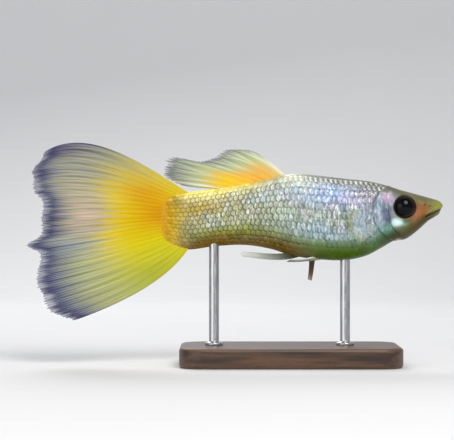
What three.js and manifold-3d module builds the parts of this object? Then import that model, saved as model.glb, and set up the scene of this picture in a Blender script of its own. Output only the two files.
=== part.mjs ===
// A fancy guppy, a gold and platinum male with a fan tail, as a life-size still model on a plain stand.
// Units are millimetres. +X is the way the fish faces, +Y is its left side and +Z is up.
// The origin is the middle of the stand's underside.

import * as THREE from "three";
import { mergeVertices } from "three/addons/utils/BufferGeometryUtils.js";
import Module from "manifold-3d";

const wasm = await Module();
wasm.setup();

// The gap between neighbouring pieces
const GAP = 0.3;

// Body: stations from tail root to snout, each with the back, the belly, the half width, how far up
// the widest place lies, and how square the upper and lower halves of the section are
const BODY_STATIONS = [
  { x: -12.6, back: 17.0, belly: 12.1, half: 0.3, widest: 0.5, upper: 2.0, lower: 2.0 },
  { x: -10.2, back: 17.3, belly: 11.55, half: 0.72, widest: 0.5, upper: 2.0, lower: 2.0 },
  { x: -7.5, back: 17.6, belly: 11.88, half: 1.1, widest: 0.52, upper: 2.0, lower: 2.0 },
  { x: -4.5, back: 18.08, belly: 12.0, half: 1.45, widest: 0.54, upper: 2.0, lower: 2.0 },
  { x: -2.0, back: 18.6, belly: 11.62, half: 1.78, widest: 0.54, upper: 2.0, lower: 2.0 },
  { x: 0.3, back: 19.12, belly: 10.92, half: 2.08, widest: 0.53, upper: 2.05, lower: 2.05 },
  { x: 2.8, back: 18.93, belly: 10.57, half: 2.32, widest: 0.5, upper: 2.15, lower: 2.1 },
  { x: 5.5, back: 18.62, belly: 10.49, half: 2.4, widest: 0.5, upper: 2.25, lower: 2.1 },
  { x: 7.6, back: 18.4, belly: 10.93, half: 2.36, widest: 0.54, upper: 2.35, lower: 2.0 },
  { x: 9.2, back: 18.05, belly: 11.75, half: 2.25, widest: 0.57, upper: 2.5, lower: 1.95 },
  { x: 10.4, back: 17.68, belly: 12.42, half: 2.12, widest: 0.6, upper: 2.6, lower: 1.95 },
  { x: 11.5, back: 17.38, belly: 12.58, half: 1.92, widest: 0.62, upper: 2.6, lower: 1.95 },
  { x: 12.6, back: 17.08, belly: 13.32, half: 1.6, widest: 0.64, upper: 2.5, lower: 2.0 },
  { x: 13.8, back: 16.75, belly: 14.4, half: 1.22, widest: 0.62, upper: 2.4, lower: 2.1 },
  { x: 14.7, back: 16.5, belly: 15.12, half: 0.93, widest: 0.58, upper: 2.3, lower: 2.2 },
  { x: 15.25, back: 16.35, belly: 15.45, half: 0.8, widest: 0.55, upper: 2.2, lower: 2.2 },
];
const SNOUT_X = 15.25;
const SNOUT_Z = 15.9;
const SNOUT_ROUND = 0.6;
const SNOUT_TAPER = 1.3;
const BODY_RINGS = 54;
const BODY_SIDES = 36;

// Head
const GILL_CENTRE = { x: 11.1, z: 15.35 };
const GILL_RADIUS = 2.95;
const GILL_COVER_RISE = 0.13;
const GILL_COVER_LENGTH = 2.2;
const MOUTH_TIP = { x: 15.45, z: 15.78 };
const MOUTH_CORNER = { x: 13.4, z: 14.78 };
const MOUTH_WIDTH = 0.16;
const LIP_RISE = 0.14;
const LIP_THICK = 0.26;
const NOSTRIL = { x: 13.35, z: 15.95, y: 1.2, radius: 0.15 };
const EYE = { x: 11.3, z: 15.78, y: 1.5, radius: 1.1, depth: 0.8 };
const ORBIT_RISE = 0.1;

// Tail stalk: where it parts from the torso, and the round edge that carries the tail fin
const STALK_X = -5.8;
const TAIL_ARC = { x: -7.97, z: 14.7, radius: 3.85 };

// Fins
const FIN_THICK = 0.5;
const FIN_TIP_THICK = 0.3;
const RAY_RISE = 0.16;
const COLUMNS_PER_RAY = 3;
const CAUDAL = { rays: 22, rows: 11, rootThick: 0.8 };
const DORSAL = { rays: 8, rows: 10, rootThick: 0.62 };
const PECTORAL = { rays: 9, rows: 6, length: 3.15, rootThick: 0.55 };
const PELVIC = { rays: 5, rows: 5, rootThick: 0.55 };
const GONOPODIUM = { rays: 3, rows: 8, rootThick: 0.6 };

// Stand
const BASE = { length: 22, width: 12, thick: 2, corner: 2.4, bevel: 0.35 };
const ROD_RADIUS = 0.5;
const ROD_SIDES = 16;
const FRONT_ROD_X = 5.5;
const REAR_ROD_X = -7.6;

const clamp01 = (t) => Math.min(1, Math.max(0, t));
const mix = (a, b, t) => a + (b - a) * t;
const smooth = (t) => clamp01(t) ** 2 * (3 - 2 * clamp01(t));

/** A smooth curve through [place, value] pairs, with each slope taken from the two neighbours. */
function through(pairs) {
  const slope = pairs.map((p, i) => {
    const before = pairs[Math.max(0, i - 1)];
    const after = pairs[Math.min(pairs.length - 1, i + 1)];
    return (after[1] - before[1]) / (after[0] - before[0]);
  });
  return (x) => {
    let i = pairs.findIndex((p) => p[0] > x) - 1;
    if (i === -2) i = pairs.length - 2;
    i = Math.max(0, i);
    const width = pairs[i + 1][0] - pairs[i][0];
    const t = clamp01((x - pairs[i][0]) / width);
    const rise = (2 * t ** 3 - 3 * t ** 2 + 1) * pairs[i][1] + (3 * t ** 2 - 2 * t ** 3) * pairs[i + 1][1];
    const lean = (t ** 3 - 2 * t ** 2 + t) * slope[i] + (t ** 3 - t ** 2) * slope[i + 1];
    return rise + lean * width;
  };
}

const stationCurve = (key) => through(BODY_STATIONS.map((s) => [s.x, s[key]]));
const backAt = stationCurve("back");
const bellyAt = stationCurve("belly");
const halfAt = stationCurve("half");
const widestAt = stationCurve("widest");
const upperAt = stationCurve("upper");
const lowerAt = stationCurve("lower");

/** How far a skin feature lifts the surface at (x, z) on the body's side: lips, orbit rim and gill cover. */
function relief(x, z) {
  const alongX = MOUTH_CORNER.x - MOUTH_TIP.x;
  const alongZ = MOUTH_CORNER.z - MOUTH_TIP.z;
  const length = Math.hypot(alongX, alongZ);
  const along = ((x - MOUTH_TIP.x) * alongX + (z - MOUTH_TIP.z) * alongZ) / length;
  const off = Math.abs((x - MOUTH_TIP.x) * alongZ - (z - MOUTH_TIP.z) * alongX) / length;
  const lips = LIP_RISE * Math.exp(-((off / LIP_THICK) ** 2)) * smooth((length + 0.25 - along) / 0.5);
  const fromEye = Math.hypot(x - EYE.x, z - EYE.z) / EYE.radius;
  const orbit = ORBIT_RISE * Math.exp(-(((fromEye - 1.2) / 0.16) ** 2));
  const inside = GILL_RADIUS - Math.hypot(x - GILL_CENTRE.x, z - GILL_CENTRE.z);
  const behind = smooth((GILL_CENTRE.x - 0.4 - x) / 1.2);
  const cover = inside > -0.1 ? GILL_COVER_RISE * (1 - smooth(inside / GILL_COVER_LENGTH)) * behind : 0;
  return lips + orbit + cover;
}

/** The share of full size at a distance from the tip, on a quarter ellipse that is full at reach. */
function roundedOff(fromTip, reach) {
  return fromTip >= reach ? 1 : Math.sqrt(Math.max(0, 1 - ((reach - fromTip) / reach) ** 2));
}

/** One ring of the body at x, grown outwards by grow, with the snout rounded to a point. */
function bodyRing(x, grow) {
  const fromTip = SNOUT_X + grow - x;
  const cap = roundedOff(fromTip, SNOUT_ROUND + grow);
  const taper = roundedOff(fromTip, SNOUT_TAPER + grow);
  const at = Math.min(x, SNOUT_X);
  const back = mix(SNOUT_Z, backAt(at) + grow, cap);
  const belly = mix(SNOUT_Z, bellyAt(at) - grow, cap);
  const half = (halfAt(at) + grow) * taper;
  const centre = mix(belly, back, widestAt(at));
  const ring = [];
  for (let i = 0; i < BODY_SIDES; i += 1) {
    const angle = (2 * Math.PI * i) / BODY_SIDES;
    const c = Math.cos(angle);
    const s = Math.sin(angle);
    const power = 2 / (s >= 0 ? upperAt(at) : lowerAt(at));
    const reach = s >= 0 ? back - centre : centre - belly;
    const y = half * Math.sign(c) * Math.abs(c) ** power;
    const z = centre + reach * Math.sign(s) * Math.abs(s) ** power;
    const lift = relief(x, z) * cap * Math.abs(c);
    ring.push(new THREE.Vector3(x, y + lift * Math.sign(c) * Math.abs(c), z + lift * s));
  }
  return ring;
}

/** A closed mesh from rings of points, each end drawn to the middle of its ring. */
function loft(rings) {
  const sides = rings[0].length;
  const points = rings.flat();
  const faces = [];
  for (let r = 0; r < rings.length - 1; r += 1) {
    for (let i = 0; i < sides; i += 1) {
      const a = r * sides + i;
      const b = r * sides + ((i + 1) % sides);
      faces.push(a, b, b + sides, a, b + sides, a + sides);
    }
  }
  const middle = (ring) => ring.reduce((sum, p) => sum.add(p), new THREE.Vector3()).divideScalar(sides);
  const last = (rings.length - 1) * sides;
  const first = points.push(middle(rings[0])) - 1;
  const end = points.push(middle(rings[rings.length - 1])) - 1;
  for (let i = 0; i < sides; i += 1) {
    const next = (i + 1) % sides;
    faces.push(first, next, i, end, last + i, last + next);
  }
  return new THREE.BufferGeometry().setFromPoints(points).setIndex(faces);
}

/** A closed three.js geometry as a solid, turned outside out if its faces point in. */
function solid(geometry) {
  const bare = new THREE.BufferGeometry().setAttribute("position", geometry.getAttribute("position"));
  if (geometry.index) bare.setIndex(geometry.index);
  const merged = mergeVertices(bare, 1e-4);
  const triVerts = new Uint32Array(merged.index.array);
  const build = () =>
    new wasm.Manifold(
      new wasm.Mesh({ numProp: 3, vertProperties: merged.attributes.position.array, triVerts }),
    );
  const made = build();
  if (made.volume() > 0) return made;
  for (let i = 0; i < triVerts.length; i += 3) {
    [triVerts[i + 1], triVerts[i + 2]] = [triVerts[i + 2], triVerts[i + 1]];
  }
  return build();
}

/** The largest closed body of a solid, as a three.js geometry. */
function largest(made) {
  const bodies = made.decompose().sort((a, b) => b.volume() - a.volume());
  const mesh = bodies[0].getMesh();
  return new THREE.BufferGeometry()
    .setAttribute("position", new THREE.BufferAttribute(new Float32Array(mesh.vertProperties), 3))
    .setIndex(new THREE.BufferAttribute(new Uint32Array(mesh.triVerts), 1));
}

/** The whole body as one solid, grown outwards by grow. Rings lie closer together towards the snout. */
function bodySolid(grow = 0) {
  const start = BODY_STATIONS[0].x;
  const end = SNOUT_X + grow - 0.004;
  const rings = [];
  for (let r = 0; r <= BODY_RINGS; r += 1) {
    const t = r / BODY_RINGS;
    rings.push(bodyRing(mix(start, end, t + 0.16 * Math.sin(Math.PI * t)), grow));
  }
  rings[BODY_RINGS] = bodyRing(end, grow);
  return solid(loft(rings));
}

/** A box from low to high corner, as a solid. */
function boxSolid(low, high) {
  const size = high.map((v, i) => v - low[i]);
  const geometry = new THREE.BoxGeometry(...size);
  geometry.translate(...low.map((v, i) => v + size[i] / 2));
  return solid(geometry);
}

/** A round bar along Y through (x, z), as a solid. */
function barAcross(x, z, radius, sides = 54) {
  const geometry = new THREE.CylinderGeometry(radius, radius, 20, sides);
  geometry.translate(x, 0, z);
  return solid(geometry);
}

/** Everything ahead of the gill cover's edge, grown back by grow. */
function headZone(grow) {
  const disc = barAcross(GILL_CENTRE.x, GILL_CENTRE.z, GILL_RADIUS + grow);
  return disc.add(boxSolid([GILL_CENTRE.x, -9, 8], [20, 9, 22]));
}

/** Everything ahead of the round edge at the tail's root, grown back by grow. */
function stalkZone(grow) {
  const disc = barAcross(TAIL_ARC.x, TAIL_ARC.z, TAIL_ARC.radius + grow);
  return disc.add(boxSolid([TAIL_ARC.x, -9, 6], [20, 9, 24]));
}

/** An eye, grown outwards by grow, on the left side for side 1 and on the right for side -1. */
function eyeSolid(side, grow) {
  const geometry = new THREE.SphereGeometry(1, 18, 10);
  geometry.scale(EYE.radius + grow, EYE.depth + grow, EYE.radius + grow);
  geometry.translate(EYE.x, side * EYE.y, EYE.z);
  return solid(geometry);
}

/** The flat slit between the lips, widest at the tip and closed at the corner. */
function mouthSlit() {
  const reach = Math.hypot(MOUTH_TIP.x - MOUTH_CORNER.x, MOUTH_TIP.z - MOUTH_CORNER.z);
  const outline = new THREE.Shape();
  outline.moveTo(0, 0.03);
  outline.lineTo(reach + 0.5, MOUTH_WIDTH / 2);
  outline.lineTo(reach + 0.5, -MOUTH_WIDTH / 2);
  outline.lineTo(0, -0.03);
  const geometry = new THREE.ExtrudeGeometry(outline, { depth: 6, bevelEnabled: false });
  geometry.translate(0, 0, -3);
  geometry.rotateX(Math.PI / 2);
  geometry.rotateY(-Math.atan2(MOUTH_TIP.z - MOUTH_CORNER.z, MOUTH_TIP.x - MOUTH_CORNER.x));
  geometry.translate(MOUTH_CORNER.x, 0, MOUTH_CORNER.z);
  return solid(geometry);
}

/** A nostril pit on one side of the snout. */
function nostrilPit(side) {
  const geometry = new THREE.SphereGeometry(NOSTRIL.radius, 8, 6);
  geometry.translate(NOSTRIL.x, side * NOSTRIL.y, NOSTRIL.z);
  return solid(geometry);
}

/** A point on a ray from root to margin, as a cubic with its two middle points pushed by bow. */
function alongRay(root, margin, bow, v) {
  const w = 1 - v;
  return [0, 1].map((k) => {
    const near = mix(root[k], margin[k], 1 / 3) + bow[0][k];
    const far = mix(root[k], margin[k], 2 / 3) + bow[1][k];
    return w ** 3 * root[k] + 3 * w * w * v * near + 3 * w * v * v * far + v ** 3 * margin[k];
  });
}

/**
 * A closed fin blade. place(u, v) gives its middle surface, u across the rays and v from root to
 * margin, and a ridge runs along each ray on both faces. Both faces are split into triangles alike.
 */
function finBlade({ rays, rows, rootThick }, place, scallop) {
  const columns = (rays - 1) * COLUMNS_PER_RAY;
  const step = 1e-3;
  const faces = [];
  const sides = [1, -1].map((face) => {
    const points = [];
    for (let i = 0; i <= columns; i += 1) {
      const u = i / columns;
      const isRay = i % COLUMNS_PER_RAY === 0;
      for (let j = 0; j <= rows; j += 1) {
        const v = j / rows;
        const drawnIn = isRay ? v : v * (1 - scallop * v * v);
        const at = place(u, drawnIn);
        const across = place(Math.min(1, u + step), drawnIn).sub(place(Math.max(0, u - step), drawnIn));
        const out = place(u, drawnIn + step).sub(place(u, drawnIn - step));
        const normal = across.cross(out).normalize();
        const ridge = isRay ? RAY_RISE * (1 - 0.6 * v) : 0;
        const thin = rootThick - (rootThick - FIN_THICK) * smooth(v / 0.3);
        const thick = mix(thin, FIN_TIP_THICK, smooth((v - 0.86) / 0.14)) + ridge;
        points.push(at.addScaledVector(normal, (face * thick) / 2));
      }
    }
    return points;
  });
  const count = (columns + 1) * (rows + 1);
  const id = (i, j) => i * (rows + 1) + j;
  const quad = (a, b, c, d) => faces.push(a, b, c, a, c, d);
  for (let i = 0; i < columns; i += 1) {
    for (let j = 0; j < rows; j += 1) {
      const [a, b, c, d] = [id(i, j), id(i + 1, j), id(i + 1, j + 1), id(i, j + 1)];
      faces.push(a, b, c, a, c, d);
      faces.push(count + a, count + c, count + b, count + a, count + d, count + c);
    }
    quad(id(i + 1, 0), id(i, 0), count + id(i, 0), count + id(i + 1, 0));
    quad(id(i, rows), id(i + 1, rows), count + id(i + 1, rows), count + id(i, rows));
  }
  for (let j = 0; j < rows; j += 1) {
    quad(id(0, j), id(0, j + 1), count + id(0, j + 1), count + id(0, j));
    quad(id(columns, j + 1), id(columns, j), count + id(columns, j), count + id(columns, j + 1));
  }
  return solid(new THREE.BufferGeometry().setFromPoints(sides.flat()).setIndex(faces));
}

/** Curve through named [u, x, z] points, giving [x, z] at u. */
function edge(points) {
  const x = through(points.map((p) => [p[0], p[1]]));
  const z = through(points.map((p) => [p[0], p[2]]));
  return (u) => [x(u), z(u)];
}

/** The tail fin: rays fan from the stalk's round end, bowed out above and below, to a ragged margin. */
function caudalFin() {
  const margin = edge([
    [0, -24.6, 21.35],
    [0.13, -25.7, 19.4],
    [0.27, -25.6, 17.2],
    [0.32, -24.95, 16.3],
    [0.45, -24.95, 14.4],
    [0.53, -24.8, 13.0],
    [0.58, -26.2, 12.0],
    [0.64, -25.1, 11.1],
    [0.8, -25.1, 8.3],
    [0.92, -23.9, 5.5],
    [1, -21.6, 4.45],
  ]);
  const fromTop = 2.28;
  const fromBottom = -2.2;
  const place = (u, v) => {
    const turn = mix(fromTop, fromBottom + 2 * Math.PI, u);
    const rootRadius = TAIL_ARC.radius - 0.5;
    const root = [TAIL_ARC.x + rootRadius * Math.cos(turn), TAIL_ARC.z + rootRadius * Math.sin(turn)];
    const upper = clamp01(1 - 2 * u) ** 1.4;
    const lower = clamp01(2 * u - 1) ** 1.4;
    const bow = [
      [1.8 * lower, 1.7 * upper - 1.15 * lower],
      [-0.5 * upper + 0.3 * lower, 4.0 * upper - 1.05 * lower],
    ];
    const [x, z] = alongRay(root, margin(u), bow, v);
    const fold = 0.62 * v * v * Math.sin(2 * Math.PI * (1.9 * u + 0.12)) - 0.5 * v * v * (u - 0.4);
    return new THREE.Vector3(x, fold, z);
  };
  return finBlade(CAUDAL, place, 0.012);
}

/** The dorsal fin: swept back from the highest place of the back over the stalk. */
function dorsalFin() {
  const root = edge([
    [0, 0.0, 18.6],
    [0.5, -2.6, 17.9],
    [1, -5.2, 17.2],
  ]);
  const margin = edge([
    [0, 4.4, 21.5],
    [0.14, 6.4, 21.5],
    [0.28, 7.8, 20.7],
    [0.43, 9.4, 20.35],
    [0.58, 11.75, 20.75],
    [0.72, 12.55, 19.7],
    [0.86, 12.6, 18.85],
    [1, 10.9, 17.95],
  ]);
  const place = (u, v) => {
    const tip = margin(u);
    const front = (1 - u) ** 2;
    const bow = [
      [-0.15 * front, 0.35 * front + 0.15],
      [-0.3 * front, 0.75 * front + 0.3 * (1 - u)],
    ];
    const [x, z] = alongRay(root(u), [-tip[0], tip[1]], bow, v);
    return new THREE.Vector3(x, 0.35 * v * v * Math.sin(2 * Math.PI * (1.1 * u + 0.1)) + 0.3 * v * v, z);
  };
  return finBlade(DORSAL, place, 0.03);
}

/** A paired breast fin: a rounded fan that stands out behind the gill cover. */
function pectoralFin(side) {
  const origin = new THREE.Vector3(8.35, side * 2.0, 14.35);
  const back = new THREE.Vector3(-0.88, side * 0.46, -0.12).normalize();
  const up = new THREE.Vector3(0.02, -side * 0.18, 1);
  up.addScaledVector(back, -up.dot(back)).normalize();
  const place = (u, v) => {
    const spread = THREE.MathUtils.degToRad(mix(36, -44, u));
    const reach = PECTORAL.length * (1 - 0.16 * (2 * u - 1) ** 2);
    const [a, b] = alongRay([0, mix(0.5, -0.5, u)], [reach * Math.cos(spread), reach * Math.sin(spread)],
      [[0, 0.1 * (1 - 2 * u)], [0, 0.22 * (1 - 2 * u)]], v);
    const out = new THREE.Vector3().crossVectors(back, up).multiplyScalar(0.18 * v * v);
    return origin.clone().addScaledVector(back, a).addScaledVector(up, b).add(out);
  };
  return finBlade(PECTORAL, place, 0.03);
}

/** The right pelvic fin, laid back flat under the belly. */
function pelvicRight() {
  const place = (u, v) => {
    const root = [3.0 - 0.7 * u, -0.35 - 0.5 * u];
    const tip = [0.0 - 0.35 * (1 - u), -0.55 - 1.0 * u];
    const [x, y] = alongRay(root, tip, [[0, -0.08], [0, -0.12 * u]], v);
    return new THREE.Vector3(x, y, 10.62 - 0.28 * v + 0.22 * u - 0.1 * Math.sin(Math.PI * v));
  };
  return finBlade(PELVIC, place, 0.03);
}

/** The left pelvic fin, lowered and seen edge on. */
function pelvicLeft() {
  const place = (u, v) => {
    const root = [2.55 - 0.55 * u, 10.95];
    const tip = [2.2 - 0.35 * u, 8.42 + 0.15 * u];
    const [x, z] = alongRay(root, tip, [[0.03, 0], [0.05, 0]], v);
    return new THREE.Vector3(x, 0.7 + 0.35 * u + 0.25 * v * v, z);
  };
  return finBlade(PELVIC, place, 0.02);
}

/** The male's anal fin: a narrow rod of a few rays that trails under the belly to a blunt, hooked tip. */
function gonopodium() {
  const root = edge([
    [0, 1.35, 11.0],
    [0.5, 0.6, 11.0],
    [1, -0.3, 11.2],
  ]);
  const margin = edge([
    [0, -4.75, 10.82],
    [0.5, -4.95, 11.08],
    [1, -4.85, 11.36],
  ]);
  const place = (u, v) => {
    const sag = 0.55 * (1 - u);
    const [x, z] = alongRay(root(u), margin(u), [[0.1, -sag - 0.25], [0, -0.25 * (1 - u)]], v);
    return new THREE.Vector3(x, -0.12 * Math.sin(Math.PI * v), z);
  };
  return finBlade(GONOPODIUM, place, 0.01);
}

/** The stand's flat base, with rounded corners and bevelled edges. */
function standBase() {
  const { length, width, thick, corner, bevel } = BASE;
  const a = length / 2 - bevel;
  const b = width / 2 - bevel;
  const r = corner - bevel;
  const outline = new THREE.Shape();
  outline.moveTo(-a + r, -b);
  outline.absarc(a - r, -b + r, r, -Math.PI / 2, 0);
  outline.absarc(a - r, b - r, r, 0, Math.PI / 2);
  outline.absarc(-a + r, b - r, r, Math.PI / 2, Math.PI);
  outline.absarc(-a + r, -b + r, r, Math.PI, 1.5 * Math.PI);
  const geometry = new THREE.ExtrudeGeometry(outline, {
    depth: thick - 2 * bevel,
    bevelThickness: bevel,
    bevelSize: bevel,
    bevelSegments: 2,
    curveSegments: 6,
  });
  geometry.translate(0, 0, bevel);
  return solid(geometry);
}

/** A round rod from the base up to the fish. */
function standRod(x) {
  const low = BASE.thick + GAP;
  const high = 13;
  const geometry = new THREE.CylinderGeometry(ROD_RADIUS, ROD_RADIUS, high - low, ROD_SIDES);
  geometry.rotateX(Math.PI / 2);
  geometry.translate(x, 0, (low + high) / 2);
  return solid(geometry);
}

const FINISHES = {
  head: { color: 0xa9a48a, roughness: 0.35, metalness: 0.25 },
  flank: { color: 0xbcc8cf, roughness: 0.3, metalness: 0.45 },
  stalk: { color: 0xc9b45a, roughness: 0.35, metalness: 0.3 },
  eye: { color: 0x07090c, roughness: 0.08, metalness: 0 },
  caudal: { color: 0xe6c62c, roughness: 0.5, metalness: 0 },
  dorsal: { color: 0xeac653, roughness: 0.5, metalness: 0 },
  clear: { color: 0xc7cfc4, roughness: 0.45, metalness: 0 },
  base: { color: 0x3a2a20, roughness: 0.4, metalness: 0 },
  rod: { color: 0xb9bcc0, roughness: 0.25, metalness: 1 },
};

const group = new THREE.Group();

/** Adds one named sub-part to the group. */
function addPart(name, made, finish) {
  const mesh = new THREE.Mesh(largest(made), new THREE.MeshStandardMaterial(FINISHES[finish]));
  mesh.name = name;
  group.add(mesh);
}

// Body, parted at the gill cover's edge and before the tail stalk
const whole = bodySolid();
const clearOfBody = bodySolid(GAP);
const fish = whole.intersect(stalkZone(0));
const behindCut = boxSolid([-20, -9, 6], [STALK_X - GAP / 2, 9, 24]);
const aheadOfCut = boxSolid([STALK_X + GAP / 2, -9, 6], [20, 9, 24]);
let head = fish.intersect(headZone(0)).subtract(mouthSlit());
for (const side of [1, -1]) {
  head = head.subtract(eyeSolid(side, GAP)).subtract(nostrilPit(side));
}
addPart("head", head, "head");
addPart("torso", fish.intersect(aheadOfCut).subtract(headZone(GAP)), "flank");
addPart("tail_stalk", fish.intersect(behindCut), "stalk");
addPart("eye_left", eyeSolid(1, 0), "eye");
addPart("eye_right", eyeSolid(-1, 0), "eye");

// Fins, each cut back so that its root follows the body with the gap
const freeFin = (blade) => blade.subtract(clearOfBody);
addPart("caudal_fin", caudalFin().subtract(stalkZone(GAP)), "caudal");
addPart("dorsal_fin", freeFin(dorsalFin()), "dorsal");
addPart("gonopodium", freeFin(gonopodium()), "clear");
addPart("pelvic_fin_left", freeFin(pelvicLeft()), "clear");
addPart("pelvic_fin_right", freeFin(pelvicRight()), "clear");
addPart("pectoral_fin_left", freeFin(pectoralFin(1)), "clear");
addPart("pectoral_fin_right", freeFin(pectoralFin(-1)), "clear");

// Stand
addPart("stand_base", standBase(), "base");
addPart("stand_rod_front", standRod(FRONT_ROD_X).subtract(clearOfBody), "rod");
addPart("stand_rod_rear", standRod(REAR_ROD_X).subtract(clearOfBody), "rod");

export default group;
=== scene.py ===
"""A fancy guppy, a gold and platinum male with a fan tail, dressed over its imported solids.

Every size below is in millimetres in the part's own frame and becomes metres when a mesh is made.
The fish faces +X, its left side is +Y, +Z is up and the stand's underside is Z = 0.
"""

import logging
import math
from dataclasses import dataclass, field
from enum import Enum
from typing import Callable

import bpy
import numpy as np
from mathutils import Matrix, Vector


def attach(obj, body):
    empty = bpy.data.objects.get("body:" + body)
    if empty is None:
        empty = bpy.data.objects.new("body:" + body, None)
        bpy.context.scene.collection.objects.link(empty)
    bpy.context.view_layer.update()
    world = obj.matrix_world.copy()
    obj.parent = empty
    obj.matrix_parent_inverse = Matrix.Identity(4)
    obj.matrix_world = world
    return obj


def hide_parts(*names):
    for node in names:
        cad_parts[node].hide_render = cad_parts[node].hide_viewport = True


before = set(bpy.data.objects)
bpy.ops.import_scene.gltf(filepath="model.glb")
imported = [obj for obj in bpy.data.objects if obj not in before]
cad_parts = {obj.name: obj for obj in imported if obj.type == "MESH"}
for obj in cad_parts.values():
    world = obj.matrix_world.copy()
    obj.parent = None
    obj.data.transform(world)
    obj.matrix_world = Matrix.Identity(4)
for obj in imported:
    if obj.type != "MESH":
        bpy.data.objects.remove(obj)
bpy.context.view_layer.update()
BODY = "root"
MM = 0.001
TAU = 2.0 * math.pi
QUARTER = 0.5 * math.pi
BLACK, WHITE = (0.0, 0.0, 0.0, 1.0), (1.0, 1.0, 1.0, 1.0)

Array = np.ndarray
Material = bpy.types.Material
Socket = bpy.types.NodeSocket
Tree = bpy.types.NodeTree
Pair = tuple[float, float]
Triple = tuple[float, float, float]
Row = tuple[str | float, ...]

log = logging.getLogger("guppy")


class Side(Enum):
    """Which side of the fish a paired piece is on, as the sign of its Y."""

    LEFT = 1
    RIGHT = -1


# Small tools


def linear(code: str) -> Array:
    """Turns a colour written as six hex digits into linear light.

    Args:
        code: Red, green and blue as two hex digits each.

    Returns:
        The three linear values from 0 to 1.
    """
    srgb = np.array([int(code[i : i + 2], 16) for i in (0, 2, 4)]) / 255.0
    return np.where(srgb <= 0.04045, srgb / 12.92, ((srgb + 0.055) / 1.055) ** 2.4)


def smooth(t: Array) -> Array:
    """A ramp from 0 to 1 that starts and ends level: three t squared less two t cubed."""
    t = np.clip(t, 0.0, 1.0)
    return t * t * (3.0 - 2.0 * t)


def bump(t: Array) -> Array:
    """A bell that is 1 at t = 0: the exponential of minus t squared."""
    return np.exp(-(t * t))


def mix(a: Array, b: Array, t: Array) -> Array:
    """The value that lies the share t of the way from a to b."""
    return a + (b - a) * t


def stack(*parts: Array | float) -> Array:
    """Coordinates side by side on a new last axis, each stretched to the shape of them all."""
    return np.stack(np.broadcast_arrays(*parts), -1)


@dataclass(frozen=True)
class SmoothCurve:
    """A cubic curve through pairs, with each slope taken from the two neighbouring pairs."""

    pairs: tuple[Pair, ...]

    def __call__(self, x: Array) -> Array:
        """Reads the curve.

        Args:
            x: Places, of any shape.

        Returns:
            The cubic Hermite value at each place, held level past both ends.
        """
        place, value = np.array(self.pairs, float).T
        index = np.arange(len(place))
        before, after = np.maximum(index - 1, 0), np.minimum(index + 1, len(place) - 1)
        slope = (value[after] - value[before]) / (place[after] - place[before])
        i = np.clip(np.searchsorted(place, x, side="right") - 1, 0, len(place) - 2)
        width = place[i + 1] - place[i]
        t = np.clip((x - place[i]) / width, 0.0, 1.0)
        rise = (2 * t**3 - 3 * t**2 + 1) * value[i] + (3 * t**2 - 2 * t**3) * value[i + 1]
        lean = (t**3 - 2 * t**2 + t) * slope[i] + (t**3 - t**2) * slope[i + 1]
        return rise + lean * width


@dataclass(frozen=True)
class Marking:
    """One soft patch of colour, by the two numbers a and b that place a point on its piece."""

    name: str
    a: float
    b: float
    spread_a: float
    spread_b: float
    colour: str
    strength: float = 1.0
    flatness: float = 1.0

    def lay(self, ground: Array, a: Array, b: Array) -> Array:
        """Lays the patch over the colours that are there already.

        Args:
            ground: Linear colours, with a last axis of three.
            a: The first number of each point.
            b: The second number of each point.

        Returns:
            The colours, mixed towards the patch by the exponential of minus its squared distance.
        """
        off = ((a - self.a) / self.spread_a) ** 2 + ((b - self.b) / self.spread_b) ** 2
        share = self.strength * np.exp(-(off**self.flatness))
        return mix(ground, linear(self.colour), share[..., None])


def lay_markings(base: str, rows: tuple[Row, ...], a: Array, b: Array) -> Array:
    """Colours points with a base colour and markings laid over it in order.

    Args:
        base: The base colour as hex digits.
        rows: The fields of each patch, from the lowest to the topmost.
        a: The first number of each point.
        b: The second number of each point.

    Returns:
        Linear colours with a last axis of three.
    """
    ground = np.broadcast_to(linear(base), (*np.broadcast(a, b).shape, 3)).copy()
    for row in rows:
        ground = Marking(*row).lay(ground, a, b)
    return ground


def grid_faces(rows: int, columns: int, wrap: bool = False) -> Array:
    """The quads of a grid of points that is stored row by row.

    Args:
        rows: Points along the first axis.
        columns: Points along the second axis.
        wrap: Whether the last column joins the first.

    Returns:
        One row of four point indices for each quad.
    """
    i = np.arange(rows - 1)[:, None]
    j = np.arange(columns if wrap else columns - 1)[None, :]
    k = (j + 1) % columns
    up = (i + 1) * columns
    return stack(i * columns + j, i * columns + k, up + k, up + j).reshape(-1, 4)



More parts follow.
